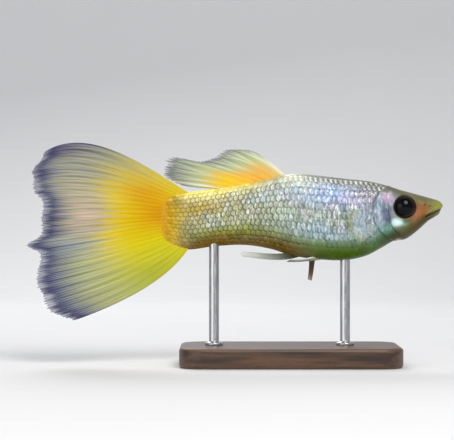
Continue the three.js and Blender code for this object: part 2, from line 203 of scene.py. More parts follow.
@dataclass
class MeshData:
    """The arrays of one mesh before it goes to Blender, in millimetres."""

    points: Array
    quads: Array
    triangles: Array = field(default_factory=lambda: np.zeros((0, 3), int))
    tint: Array | None = None
    numbers: dict[str, Array] = field(default_factory=dict)
    maps: dict[str, Array] = field(default_factory=dict)

    @classmethod
    def tube(cls, rings: Array, ends: Array, **values: Array) -> "MeshData":
        """A closed skin over rings of points, with a fan of triangles at either end.

        Args:
            rings: Points by ring and by place round it.
            ends: The middle points of the first and the last fan.
            **values: Numbers, or the colour "tint", for the rings' points. An end takes its ring's first.

        Returns:
            The mesh, with its faces out.
        """
        rows, columns = rings.shape[:2]
        count, last = rows * columns, (rows - 1) * columns
        ring = np.arange(columns)
        after = (ring + 1) % columns
        fans = np.concatenate([stack(count, after, ring), stack(count + 1, last + ring, last + after)])
        source = np.append(np.arange(count), [0, last])
        numbers = {key: grid.reshape(count, -1)[source] for key, grid in values.items()}
        points = np.concatenate([rings.reshape(count, 3), ends])
        quads = grid_faces(rows, columns, wrap=True)
        return cls(points, quads, fans, numbers.pop("tint", None), numbers).flipped_out()

    def flipped_out(self) -> "MeshData":
        """Turns every face round if the closed mesh's signed volume is below zero, and returns the mesh.

        Returns:
            The same mesh.
        """
        fans = [self.quads[:, [0, 1, 2]], self.quads[:, [0, 2, 3]], self.triangles]
        corners = self.points[np.concatenate(fans)]
        volume = np.einsum("ij,ij->i", corners[:, 0], np.cross(corners[:, 1], corners[:, 2])).sum()
        if volume < 0:
            self.quads = self.quads[:, ::-1].copy()
            self.triangles = self.triangles[:, ::-1].copy()
        return self

    def to_object(self, name: str, material: Material) -> bpy.types.Object:
        """Makes the Blender object at the origin, smooth shaded.

        Args:
            name: The piece's name.
            material: Its finish.

        Returns:
            The object, linked to the scene.
        """
        mesh = bpy.data.meshes.new(name)
        mesh.vertices.add(len(self.points))
        mesh.vertices.foreach_set("co", (self.points * MM).astype(np.float32).ravel())
        loops = np.concatenate([self.quads.ravel(), self.triangles.ravel()]).astype(np.int32)
        sizes = np.repeat([4, 3], [len(self.quads), len(self.triangles)])
        starts = np.cumsum(sizes) - sizes
        mesh.loops.add(len(loops))
        mesh.loops.foreach_set("vertex_index", loops)
        mesh.polygons.add(len(starts))
        mesh.polygons.foreach_set("loop_start", starts.astype(np.int32))
        mesh.update(calc_edges=True)
        if self.tint is not None:
            colours = np.ones((len(self.points), 4), np.float32)
            colours[:, :3] = self.tint
            layer = mesh.color_attributes.new("tint", "FLOAT_COLOR", "POINT")
            layer.data.foreach_set("color", colours.ravel())
        for key, values in self.numbers.items():
            layer = mesh.attributes.new(key, "FLOAT", "POINT")
            layer.data.foreach_set("value", values.astype(np.float32).ravel())
        for key, values in self.maps.items():
            layer = mesh.uv_layers.new(name=key)
            layer.data.foreach_set("uv", values[loops].astype(np.float32).ravel())
        mesh.polygons.foreach_set("use_smooth", np.ones(len(starts), bool))
        mesh.materials.append(material)
        made = bpy.data.objects.new(name, mesh)
        bpy.context.scene.collection.objects.link(made)
        return made


def blade_faces(rows: int, columns: int) -> Array:
    """The quads of a thin closed blade: a grid, a copy of it behind and a wall round their rim.

    Args:
        rows: Points along the grid's first axis.
        columns: Points along its second axis.

    Returns:
        One row of four point indices for each quad, with the copy's points after the grid's.
    """
    count = rows * columns
    down, over = np.arange(rows - 1), np.arange(columns - 1)
    rim = np.concatenate([over, (down + 1) * columns - 1, count - 1 - over, (rows - 1 - down) * columns])
    turn = np.roll(rim, -1)
    wall = stack(rim, rim + count, turn + count, turn)
    front = grid_faces(rows, columns)
    return np.concatenate([front, front[:, ::-1] + count, wall])


def settle(piece: bpy.types.Object, slot: str, *nodes: str) -> bpy.types.Object:
    """Lets a piece ride on the body, logs its slot and hides the solids it stands for.

    Args:
        piece: The finished piece.
        slot: The record's material slot.
        *nodes: The solids that it replaces.

    Returns:
        The piece.
    """
    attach(piece, BODY)
    if nodes:
        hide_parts(*nodes)
    faces, hidden = len(piece.data.polygons), ", ".join(nodes) or "none"
    log.info("%s: %d faces, slot %s, for %s", piece.name, faces, slot, hidden)
    return piece


# Finishes


@dataclass
class NodeBench:
    """Lays and wires shader nodes in one tree."""

    tree: Tree

    def add(self, kind: str, feeds: dict | None = None, **settings: object) -> bpy.types.Node:
        """Adds a node, sets its properties and feeds its sockets.

        Args:
            kind: Blender's name for the node.
            feeds: An output or a plain value for each socket, by its name or number.
            **settings: Its properties.

        Returns:
            The node.
        """
        node = self.tree.nodes.new(kind)
        for key, value in settings.items():
            setattr(node, key, value)
        for key, value in (feeds or {}).items():
            self.feed(node.inputs[key], value)
        return node

    def feed(self, socket: Socket, value: object) -> None:
        """Wires an output to a socket, or sets a plain value on it."""
        if isinstance(value, Socket):
            self.tree.links.new(value, socket)
        else:
            socket.default_value = value

    def math(self, operation: str, a: object, b: object = 0.0, clamp: bool = False) -> Socket:
        """One step of arithmetic on numbers or sockets, and its result."""
        return self.add("ShaderNodeMath", {0: a, 1: b}, operation=operation, use_clamp=clamp).outputs[0]

    def times(self, a: object, b: object) -> Socket:
        """The product of two numbers or sockets."""
        return self.math("MULTIPLY", a, b)

    def blend(self, share: object, a: object, b: object, how: str = "MIX") -> Socket:
        """Mixes two colours by a share, and returns the colour."""
        return self.add("ShaderNodeMix", {0: share, 6: a, 7: b}, data_type="RGBA", blend_type=how).outputs[2]

    def grey(self, share: object) -> Socket:
        """A grey from black at 0 to white at 1."""
        return self.blend(share, BLACK, WHITE)

    def ramp(self, value: object, low: float, high: float, start: float = 0.0, end: float = 1.0) -> Socket:
        """Maps low to start and high to end by a curve with level ends, and returns the number."""
        feeds = {"Value": value, "From Min": low, "From Max": high, "To Min": start, "To Max": end}
        return self.add("ShaderNodeMapRange", feeds, interpolation_type="SMOOTHSTEP").outputs["Result"]

    def place(self, stretch: Triple) -> Socket:
        """Object coordinates in millimetres, times a stretch along each axis."""
        feeds = {0: self.add("ShaderNodeTexCoord").outputs["Object"], 1: tuple(s / MM for s in stretch)}
        return self.add("ShaderNodeVectorMath", feeds, operation="MULTIPLY").outputs[0]

    def read(self, name: str, output: str = "Fac") -> Socket:
        """A number or colour that the mesh carries under a name."""
        return self.add("ShaderNodeAttribute", attribute_name=name).outputs[output]

    def noise(self, where: object, scale: float, detail: float = 3.0, rough: float = 0.55) -> Socket:
        """Soft noise from 0 to 1 at places given in millimetres."""
        feeds = {"Vector": where, "Scale": scale, "Detail": detail, "Roughness": rough}
        return self.add("ShaderNodeTexNoise", feeds).outputs["Fac"]


class SharedGroups:
    """The effects that several finishes use, each built once as a node group."""

    def __init__(self) -> None:
        """Builds the groups."""
        self.grain = self._grain()
        self.shimmer = self._shimmer()
        self.spots = self._spots()

    @staticmethod
    def _group(name: str, inputs: dict[str, str], outputs: dict[str, str]) -> tuple[NodeBench, dict, dict]:
        """Starts a group.

        Args:
            name: The group's name.
            inputs: Input names and kinds.
            outputs: Output names and kinds.

        Returns:
            The group's bench, the sockets that come in and the sockets that go out.
        """
        tree = bpy.data.node_groups.new(name, "ShaderNodeTree")
        for way, sockets in (("INPUT", inputs), ("OUTPUT", outputs)):
            for key, kind in sockets.items():
                tree.interface.new_socket(key, in_out=way, socket_type=f"NodeSocket{kind}")
        bench = NodeBench(tree)
        come, go = bench.add("NodeGroupInput"), bench.add("NodeGroupOutput")
        return bench, dict(come.outputs.items()), dict(go.inputs.items())

    def _grain(self) -> Tree:
        """Fine mottling: two sizes of noise, as a share for colour and a height for bump.

        Returns:
            The group.
        """
        bench, come, go = self._group(
            "FineGrain", {"Place": "Vector", "Amount": "Float"}, {"Share": "Float", "Height": "Float"}
        )
        broad = bench.noise(come["Place"], 1.3, 2.0)
        fine = bench.noise(come["Place"], 7.0, 4.0, 0.6)
        both = bench.math("ADD", bench.times(broad, 0.45), bench.times(fine, 0.55))
        bench.feed(go["Share"], bench.times(bench.math("SUBTRACT", both, 0.5), come["Amount"]))
        bench.feed(go["Height"], fine)
        return bench.tree

    def _spots(self) -> Tree:
        """Small dark spots: the middles of scattered cells, as a share for colour.

        Returns:
            The group.
        """
        bench, come, go = self._group(
            "DarkSpots", {"Place": "Vector", "Amount": "Float"}, {"Share": "Float"}
        )
        cells = bench.add("ShaderNodeTexVoronoi", {"Vector": come["Place"], "Scale": 5.5}, feature="F1")
        thin = bench.ramp(bench.noise(come["Place"], 1.1, 2.0), 0.4, 0.6)
        dots = bench.times(bench.ramp(cells.outputs["Distance"], 0.3, 0.14), thin)
        bench.feed(go["Share"], bench.times(dots, come["Amount"]))
        return bench.tree

    def _shimmer(self) -> Tree:
        """Pearl: short upright streaks that turn a colour towards pink, blue and green in turn, with
        near-white streaks of painted sheen.

        Returns:
            The group.
        """
        bench, come, go = self._group(
            "PearlShimmer", {"Colour": "Color", "Amount": "Float"}, {"Colour": "Color", "Streak": "Float"}
        )
        amount = come["Amount"]
        streak = bench.noise(bench.place((4.4, 4.4, 1.3)), 1.0, 4.0, 0.75)
        hue = bench.noise(bench.place((0.55, 0.55, 0.7)), 1.0, 2.0)
        cool = bench.times(bench.ramp(hue, 0.5, 0.7, 0.0, 0.42), amount)
        warm = bench.times(bench.ramp(hue, 0.5, 0.3, 0.0, 0.6), bench.times(amount, 0.7))
        # Painted sheen: near-white streaks that stand for light glancing off the pearly skin.
        light = bench.times(bench.ramp(streak, 0.5, 0.64), amount)
        dark = bench.times(bench.times(bench.ramp(streak, 0.49, 0.38), amount), 0.95)
        shade = come["Colour"]
        for share, colour in (
            (cool, (0.36, 0.6, 0.8, 1.0)),
            (warm, (0.66, 0.5, 0.72, 1.0)),
            (light, (0.88, 0.91, 0.88, 1.0)),
            (dark, (0.13, 0.15, 0.17, 1.0)),
        ):
            shade = bench.blend(share, shade, colour)
        bench.feed(go["Colour"], shade)
        bench.feed(go["Streak"], streak)
        return bench.tree


@dataclass(frozen=True)
class Gloss:
    """The plain numbers of one surface."""

    roughness: float
    metallic: float = 0.0
    coat: float = 0.0
    coat_roughness: float = 0.1
    specular: float = 0.5
    subsurface: float = 0.0
    bump: float = 0.0


class Finish:
    """One material, begun with its Principled shader."""

    def __init__(self, name: str, gloss: Gloss) -> None:
        """Starts the material.

        Args:
            name: The finish's name.
            gloss: Its plain numbers.
        """
        self.material = bpy.data.materials.new(name)
        self.material.use_nodes = True
        self.bench = NodeBench(self.material.node_tree)
        self.shader = self.material.node_tree.nodes["Principled BSDF"]
        self.gloss = gloss
        values = {
            "Roughness": gloss.roughness,
            "Metallic": gloss.metallic,
            "Coat Weight": gloss.coat,
            "Coat Roughness": gloss.coat_roughness,
            "Specular IOR Level": gloss.specular,
            "Subsurface Weight": gloss.subsurface,
        }
        for key, value in values.items():
            self.shader.inputs[key].default_value = value
        if gloss.subsurface:
            self.shader.inputs["Subsurface Scale"].default_value = 0.6 * MM
            self.shader.inputs["Subsurface Radius"].default_value = (1.0, 0.7, 0.5)

    def group(self, tree: Tree, **values: object) -> bpy.types.Node:
        """Places a shared group and feeds its inputs."""
        return self.bench.add("ShaderNodeGroup", values, node_tree=tree)

    def close(
        self, colour: Socket, height: Socket | None = None, depth: float = 0.0, rough: Socket | None = None
    ) -> Material:
        """Wires what the bench made to the shader.

        Args:
            colour: The base colour.
            height: A height from 0 to 1 that becomes bump.
            depth: The bump's depth in millimetres.
            rough: The roughness, where it varies.

        Returns:
            The finished material.
        """
        self.bench.feed(self.shader.inputs["Base Color"], colour)
        if rough is not None:
            self.bench.feed(self.shader.inputs["Roughness"], rough)
        if height is not None:
            feeds = {"Strength": self.gloss.bump, "Distance": depth * MM, "Height": height}
            relief = self.bench.add("ShaderNodeBump", feeds)
            self.bench.feed(self.shader.inputs["Normal"], relief.outputs["Normal"])
        return self.material


class Finishes:
    """Every finish of the fish and its stand."""

    def __init__(self) -> None:
        """Builds the shared groups and the materials."""
        self.groups = SharedGroups()
        self.skin = self._skin()
        self.plates = self._plates()
        self.eye = self._eye()
        self.fan = self._fin("FanFin", Gloss(0.6, specular=0.1, bump=0.3), 0.4)
        self.clear = self._fin("ClearFin", Gloss(0.35, specular=0.35, bump=0.2), 0.12)
        self.wood = self._wood()
        self.steel = self._steel()
        self.floor = self._floor()

    def _pearl(self, finish: Finish) -> Socket:
        """The mesh's own colour with pearl where the mesh asks for it.

        Args:
            finish: The finish.

        Returns:
            The colour.
        """
        bench = finish.bench
        values = {"Colour": bench.read("tint", "Color"), "Amount": bench.read("pearl")}
        return finish.group(self.groups.shimmer, **values).outputs["Colour"]

    def _spotted(self, finish: Finish, colour: Socket, stretch: Triple, dark: tuple[float, ...]) -> Socket:
        """A colour with small spots of a dark one where the mesh asks for them.

        Args:
            finish: The finish.
            colour: The colour.
            stretch: How many times as fine the spots are along each axis.
            dark: The spots' colour.

        Returns:
            The colour.
        """
        bench = finish.bench
        spots = finish.group(self.groups.spots, Place=bench.place(stretch), Amount=bench.read("speckle"))
        return bench.blend(spots.outputs["Share"], colour, dark)

    def _grained(
        self, finish: Finish, colour: Socket, size: float, amount: float, share: float
    ) -> tuple[Socket, Socket]:
        """Lays fine grain over a colour.

        Args:
            finish: The finish.
            colour: The colour.
            size: How many times as fine as plain the grain is.
            amount: Its contrast.
            share: How much of it shows.

        Returns:
            The colour, and the grain's height.
        """
        bench = finish.bench
        grain = finish.group(self.groups.grain, Place=bench.place((size, size, size)), Amount=amount)
        toned = bench.grey(bench.math("ADD", 0.5, grain.outputs["Share"]))
        return bench.blend(share, colour, toned, "OVERLAY"), grain.outputs["Height"]

    def _skin(self) -> Material:
        """Wet skin: its markings, pearl where it shines, fine grain and small dark spots on the back.

        Returns:
            The material.
        """
        gloss = Gloss(0.4, 0.05, coat=0.1, coat_roughness=0.14, specular=0.22, subsurface=0.05, bump=0.4)
        finish = Finish("WetSkin", gloss)
        colour, height = self._grained(finish, self._pearl(finish), 1.0, 0.9, 0.55)
        colour = self._spotted(finish, colour, (1.0, 1.0, 1.0), (0.035, 0.032, 0.02, 1.0))
        return finish.close(colour, height, 0.03, finish.bench.ramp(height, 0.3, 0.7, 0.26, 0.42))

    def _plates(self) -> Material:
        """Scale plates: the skin's markings with a bright crescent of painted highlight, a dark free edge and
        pearl streaks.

        Returns:
            The material.
        """
        gloss = Gloss(0.45, 0.22, coat=0.08, coat_roughness=0.2, specular=0.22, bump=0.6)
        finish = Finish("PearlScales", gloss)
        bench = finish.bench
        across = bench.add("ShaderNodeUVMap", uv_map="Plate").outputs["UV"]
        split = bench.add("ShaderNodeSeparateXYZ", {0: across})
        side = bench.math("SUBTRACT", split.outputs[1], 0.5)
        curve = bench.math("ADD", split.outputs[0], bench.times(bench.times(side, side), 0.9))
        # Painted highlight: a cream-white crescent on each plate, as a glint of light off the scale.
        painted_highlight_share = bench.times(bench.ramp(curve, 0.46, 0.7), bench.ramp(curve, 0.9, 0.76))
        painted_highlight_share = bench.times(painted_highlight_share, bench.read("glint"))
        colour = bench.blend(painted_highlight_share, self._pearl(finish), (0.96, 0.96, 0.84, 1.0))
        net = bench.times(bench.ramp(curve, 0.86, 1.0), bench.read("net"))
        colour = bench.blend(net, colour, (0.07, 0.06, 0.03, 1.0))
        colour = self._spotted(finish, colour, (1.2, 1.2, 1.0), (0.03, 0.034, 0.05, 1.0))
        colour, grain = self._grained(finish, colour, 1.6, 1.1, 0.45)
        rings = bench.times(bench.math("SINE", bench.times(curve, 60.0)), 0.12)
        return finish.close(colour, bench.math("ADD", rings, grain), 0.012)

    def _eye(self) -> Material:
        """A wet eye: its rings of colour under a clear, hard gloss.

        Returns:
            The material.
        """
        finish = Finish("WetEye", Gloss(0.07, coat=0.05, coat_roughness=0.02, specular=0.14, bump=0.03))
        bench = finish.bench
        fleck = bench.noise(bench.place((9.0, 9.0, 9.0)), 1.0, 3.0)
        colour = bench.blend(bench.ramp(fleck, 0.35, 0.7, 0.0, 0.5), bench.read("tint", "Color"), BLACK)
        return finish.close(colour, fleck, 0.002)

    def _fin(self, name: str, gloss: Gloss, streaks: float) -> Material:
        """A fin: its markings and streaks along the rays, and how much of what is behind it shows.

        Args:
            name: The finish's name.
            gloss: Its plain numbers.
            streaks: How strongly the brush-like streaks show.

        Returns:
            The material.
        """
        finish = Finish(name, gloss)
        bench = finish.bench
        lie = bench.add("ShaderNodeUVMap", uv_map="Lie").outputs["UV"]
        long = bench.add("ShaderNodeMapping", {"Vector": lie, "Scale": (150.0, 2.6, 1.0)})
        streak = bench.noise(long.outputs[0], 1.0, 3.0, 0.6)
        colour = bench.blend(streaks, bench.read("tint", "Color"), bench.grey(streak), "OVERLAY")
        uneven = bench.times(bench.math("SUBTRACT", streak, 0.5), 0.5)
        body = bench.math("ADD", bench.read("body"), uneven, clamp=True)
        solid = bench.ramp(bench.read("body"), 0.88, 0.98)
        bench.feed(finish.shader.inputs["Alpha"], bench.math("MAXIMUM", body, solid))
        return finish.close(colour, streak, 0.02)

    def _wood(self) -> Material:
        """Dark wood with long grain, open pores and paler wear along the edges.

        Returns:
            The material.
        """
        finish = Finish("DarkWood", Gloss(0.42, coat=0.15, coat_roughness=0.35, bump=0.5))
        bench = finish.bench
        rings = bench.noise(bench.place((0.1, 1.1, 1.6)), 1.0, 5.0, 0.6)
        pores = bench.noise(bench.place((1.0, 16.0, 16.0)), 1.0, 2.0)
        late = bench.ramp(rings, 0.35, 0.68)
        colour = bench.blend(late, (0.028, 0.014, 0.008, 1.0), (0.115, 0.055, 0.026, 1.0))
        colour = bench.blend(bench.ramp(pores, 0.56, 0.7, 0.0, 0.55), colour, (0.012, 0.006, 0.004, 1.0))
        colour = bench.blend(bench.times(bench.read("edge"), 0.35), colour, (0.23, 0.13, 0.07, 1.0))
        return finish.close(colour, pores, 0.02, bench.ramp(rings, 0.3, 0.7, 0.36, 0.52))

    def _steel(self) -> Material:
        """Drawn steel, brushed along the rod.

        Returns:
            The material.
        """
        finish = Finish("DrawnSteel", Gloss(0.3, metallic=1.0, bump=0.3))
        bench = finish.bench
        lines = bench.noise(bench.place((22.0, 22.0, 0.6)), 1.0, 3.0)
        colour = bench.blend(bench.ramp(lines, 0.3, 0.7), (0.42, 0.42, 0.43, 1.0), (0.68, 0.68, 0.69, 1.0))
        return finish.close(colour, lines, 0.006, bench.ramp(lines, 0.3, 0.7, 0.22, 0.38))

    def _floor(self) -> Material:
        """A pale, matt paper floor.

        Returns:
            The material.
        """
        finish = Finish("PaleFloor", Gloss(0.85, specular=0.2))
        bench = finish.bench
        tone = bench.noise(bench.place((0.05, 0.05, 0.05)), 1.0, 2.0)
        return finish.close(bench.blend(tone, (0.82, 0.825, 0.83, 1.0), (0.86, 0.86, 0.865, 1.0)))


# Body


@dataclass(frozen=True)
class BodyForm:
    """The bare body as a function of place along it and angle round it, and where its forms are."""

    stations: tuple[tuple[float, ...], ...] = (
        # x, back, belly, half width, widest place, squareness above, squareness below
        (-13.2, 16.9, 12.3, 0.06, 0.5, 2.0, 2.0),
        (-12.0, 17.05, 12.0, 0.36, 0.5, 2.0, 2.0),
        (-10.2, 17.3, 11.55, 0.72, 0.5, 2.0, 2.0),
        (-7.5, 17.6, 11.88, 1.1, 0.52, 2.0, 2.0),
        (-4.5, 18.08, 12.0, 1.45, 0.54, 2.0, 2.0),
        (-2.0, 18.6, 11.62, 1.78, 0.54, 2.0, 2.0),
        (0.3, 19.12, 10.92, 2.08, 0.53, 2.05, 2.05),
        (2.8, 18.93, 10.57, 2.32, 0.5, 2.15, 2.1),
        (5.5, 18.62, 10.49, 2.4, 0.5, 2.25, 2.1),
        (7.6, 18.4, 10.93, 2.36, 0.54, 2.35, 2.0),
        (9.2, 18.05, 11.75, 2.25, 0.57, 2.5, 1.95),
        (10.4, 17.68, 12.42, 2.12, 0.6, 2.6, 1.95),
        (11.5, 17.38, 12.58, 1.92, 0.62, 2.6, 1.95),
        (12.6, 17.08, 13.32, 1.6, 0.64, 2.5, 2.0),
        (13.8, 16.75, 14.4, 1.22, 0.62, 2.4, 2.1),
        (14.7, 16.5, 15.12, 0.93, 0.58, 2.3, 2.2),
        (15.25, 16.35, 15.45, 0.8, 0.55, 2.2, 2.2),
    )
    snout: Pair = (15.25, 15.9)
    snout_round: float = 0.6
    snout_taper: float = 1.3
    eye: Triple = (11.3, 1.5, 15.78)
    eye_radius: float = 1.1
    eye_depth: float = 0.8
    gill_centre: Pair = (11.1, 15.35)
    gill_radius: float = 2.95
    cheek_centre: Pair = (11.9, 15.0)
    cheek_radius: float = 2.2
    cheek_limits: Pair = (11.0, 15.9)
    mouth_tip: Pair = (15.45, 15.78)
    mouth_corner: Pair = (13.4, 14.78)
    nostrils: tuple[Pair, ...] = ((13.35, 16.02), (13.85, 15.85))

    def column(self, index: int, x: Array) -> Array:
        """One station value as a smooth curve along the body."""
        return SmoothCurve(tuple((s[0], s[index]) for s in self.stations))(x)

    def base(self, x: Array, angle: Array) -> Array:
        """The bare form: at each x a section whose halves are superellipses, shrunk to a point at the snout.

        Args:
            x: Places along the body.
            angle: Angles from the left side towards the back.

        Returns:
            Points with a last axis of three: y is the half width times a power of the cosine, and z
            is the middle height plus the reach up or down times a power of the sine.
        """
        x, angle = np.broadcast_arrays(x, angle)
        cap, taper = (
            np.sqrt(1.0 - np.clip((far - (self.snout[0] - x)) / far, 0.0, 1.0) ** 2)
            for far in (self.snout_round, self.snout_taper)
        )
        back = mix(self.snout[1], self.column(1, x), cap)
        belly = mix(self.snout[1], self.column(2, x), cap)
        half = self.column(3, x) * taper
        centre = mix(belly, back, self.column(4, x))
        c, s = np.cos(angle), np.sin(angle)
        power = 2.0 / np.where(s >= 0, self.column(5, x), self.column(6, x))
        reach = np.where(s >= 0, back - centre, centre - belly)
        y = half * np.sign(c) * np.abs(c) ** power
        z = centre + reach * np.sign(s) * np.abs(s) ** power
        return stack(x, y, z)

    def height_share(self, x: Array, z: Array) -> Array:
        """How far up a point lies, from 0 at the belly to 1 at the back."""
        back, belly = self.column(1, x), self.column(2, x)
        return (z - belly) / (back - belly)

    def gill_reach(self, x: Array, z: Array) -> Array:
        """How far inside the gill cover's round edge a point lies."""
        return self.gill_radius - np.hypot(x - self.gill_centre[0], z - self.gill_centre[1])


class HeadForms:
    """The surface forms of the head at given places, with the distances that they share."""

    def __init__(self, form: BodyForm, x: Array, z: Array) -> None:
        """Measures how the places lie.

        Args:
            form: The body's form.
            x: Places along the body.
            z: Heights.
        """
        self.form, self.x, self.z = form, x, z
        self.from_nostrils = [np.hypot(x - a, z - b) for a, b in form.nostrils]
        self.from_eye = np.hypot(x - form.eye[0], z - form.eye[2])
        self.in_gill = form.gill_reach(x, z)
        self.gill_rear = smooth(form.gill_centre[0] + 0.3 - x)
        self.off_cheek = np.hypot(x - form.cheek_centre[0], z - form.cheek_centre[1]) - form.cheek_radius
        self.cheek_rear = smooth((form.cheek_limits[0] - x) / 0.6) * smooth((form.cheek_limits[1] - z) / 0.5)
        tip, corner = form.mouth_tip, form.mouth_corner
        along_x, along_z = corner[0] - tip[0], corner[1] - tip[1]
        length = math.hypot(along_x, along_z)
        off_x, off_z = x - tip[0], z - tip[1]
        along = (off_x * along_x + off_z * along_z) / length
        self.off_mouth = (off_x * along_z - off_z * along_x) / length
        self.mouth = smooth((length + 0.2 - along) / 0.45)

    def lips(self) -> Array:
        """How far the lips stand out, less the groove between them, right round the snout.

        Returns:
            Two bells beside the mouth's line less a narrow bell on it, all lower round the snout's front.
        """
        apart, corner = np.abs(self.off_mouth), self.form.mouth_corner
        fold = bump(np.hypot(self.x - corner[0] + 0.25, self.z - corner[1] + 0.12) / 0.22)
        front = smooth((self.x - 14.75) / 0.4)
        rise = mix(0.14, 0.03, front) * bump((apart - 0.25) / 0.16)
        return self.mouth * (rise - mix(0.2, 0.04, front) * bump(apart / 0.085)) - 0.05 * fold

    def relief(self) -> Array:
        """How far the skin stands out from the bare form on the sides of the head.

        Returns:
            The sum of the nostrils, the orbit's rim and socket, the gill cover's raised edge, and the
            groove and ridge of the cheek.
        """
        off, radius = self.from_eye, self.form.eye_radius
        nose = sum(0.03 * bump((a - 0.17) / 0.07) - 0.1 * bump(a / 0.1) for a in self.from_nostrils)
        socket = -0.42 * (1.0 - smooth((off - 0.9 * radius) / 0.2))
        orbit = 0.08 * bump((off - 1.15 * radius) / 0.15) - 0.03 * bump((off - 1.45) / 0.14)
        cover = 0.14 * smooth((self.in_gill + 0.02) / 0.07) * (1.0 - smooth(self.in_gill / 2.0))
        gill = (cover - 0.05 * bump((self.in_gill + 0.1) / 0.12)) * self.gill_rear
        fold = 0.035 * bump((self.off_cheek - 0.2) / 0.12) - 0.07 * bump(self.off_cheek / 0.1)
        return nose + socket + orbit + gill + self.cheek_rear * fold

    def crease_shade(self, side: Array) -> Array:
        """How deep in a fold of the head a point lies, from 0 to 1, for the painted shade in these folds.

        Args:
            side: How squarely the skin faces sideways, from 0 to 1.

        Returns:
            The largest of the bells along the mouth, in the nostrils, at the eye's rim, behind the gill
            cover and in the groove on the cheek.
        """
        nose = 0.55 * np.max([bump(a / 0.11) for a in self.from_nostrils], axis=0)
        rim = 0.8 * bump((self.from_eye - self.form.eye_radius) / 0.1)
        gill = 0.45 * bump((self.in_gill + 0.09) / 0.09) * self.gill_rear
        cheek = 0.6 * bump(self.off_cheek / 0.13) * self.cheek_rear
        folds = np.max([nose, rim, gill, cheek], axis=0) * smooth((side - 0.05) / 0.2)
        return np.maximum(self.mouth * bump(self.off_mouth / 0.09), folds)


class ArcMap:
    """Turns an even share of the way round a section into the angle that the form takes."""

    def __init__(self, form: BodyForm, steps: int = 260, round_steps: int = 720) -> None:
        """Measures the sections.

        Args:
            form: The body's form.
            steps: Sections measured along the body.
            round_steps: Points measured round each.
        """
        self.form = form
        self.low, self.high = form.stations[0][0], form.snout[0] - 1e-3
        self.steps, self.shares = steps, round_steps
        x = np.linspace(self.low, self.high, steps)[:, None]
        angle = np.linspace(-QUARTER, 1.5 * math.pi, round_steps + 1)[None, :]
        points = form.base(x, angle)
        run = np.linalg.norm(np.diff(points, axis=1), axis=-1)
        total = np.concatenate([np.zeros((steps, 1)), np.cumsum(run, 1)], 1)
        total /= total[:, -1:]
        even = np.linspace(0.0, 1.0, round_steps + 1)
        self.table = np.stack([np.interp(even, row, angle[0]) for row in total])

    def angle(self, x: Array, share: Array) -> Array:
        """The angle at a share of the way round, read between the four nearest measured places.

        Args:
            x: Places along the body.
            share: From 0 at the belly by the left side to 0.5 at the back, and on to 1.

        Returns:
            The angles.
        """
        x, share = np.broadcast_arrays(x, share)
        a = np.clip((x - self.low) / (self.high - self.low), 0, 1) * (self.steps - 1)
        b = np.clip(share, 0, 1) * self.shares
        i = np.minimum(a.astype(int), self.steps - 2)
        j = np.minimum(b.astype(int), self.shares - 1)
        s, t = a - i, b - j
        near = mix(self.table[i, j], self.table[i, j + 1], t)
        far = mix(self.table[i + 1, j], self.table[i + 1, j + 1], t)
        return mix(near, far, s)

    def surface(self, x: Array, share: Array) -> tuple[Array, Array]:
        """Points of the bare form and the directions out of it.

        Args:
            x: Places along the body.
            share: Shares of the way round.

        Returns:
            The points, and the unit cross product of small steps round and along the form.
        """
        x, share = np.broadcast_arrays(x, share)
        angle = self.angle(x, share)
        step = 1e-3
        point = self.form.base(x, angle)
        ahead = self.form.base(x + step, angle) - self.form.base(x - step, angle)
        around = self.form.base(x, angle + step) - self.form.base(x, angle - step)
        out = np.cross(around, ahead)
        size = np.linalg.norm(out, axis=-1, keepdims=True)
        return point, out / np.maximum(size, 1e-12)


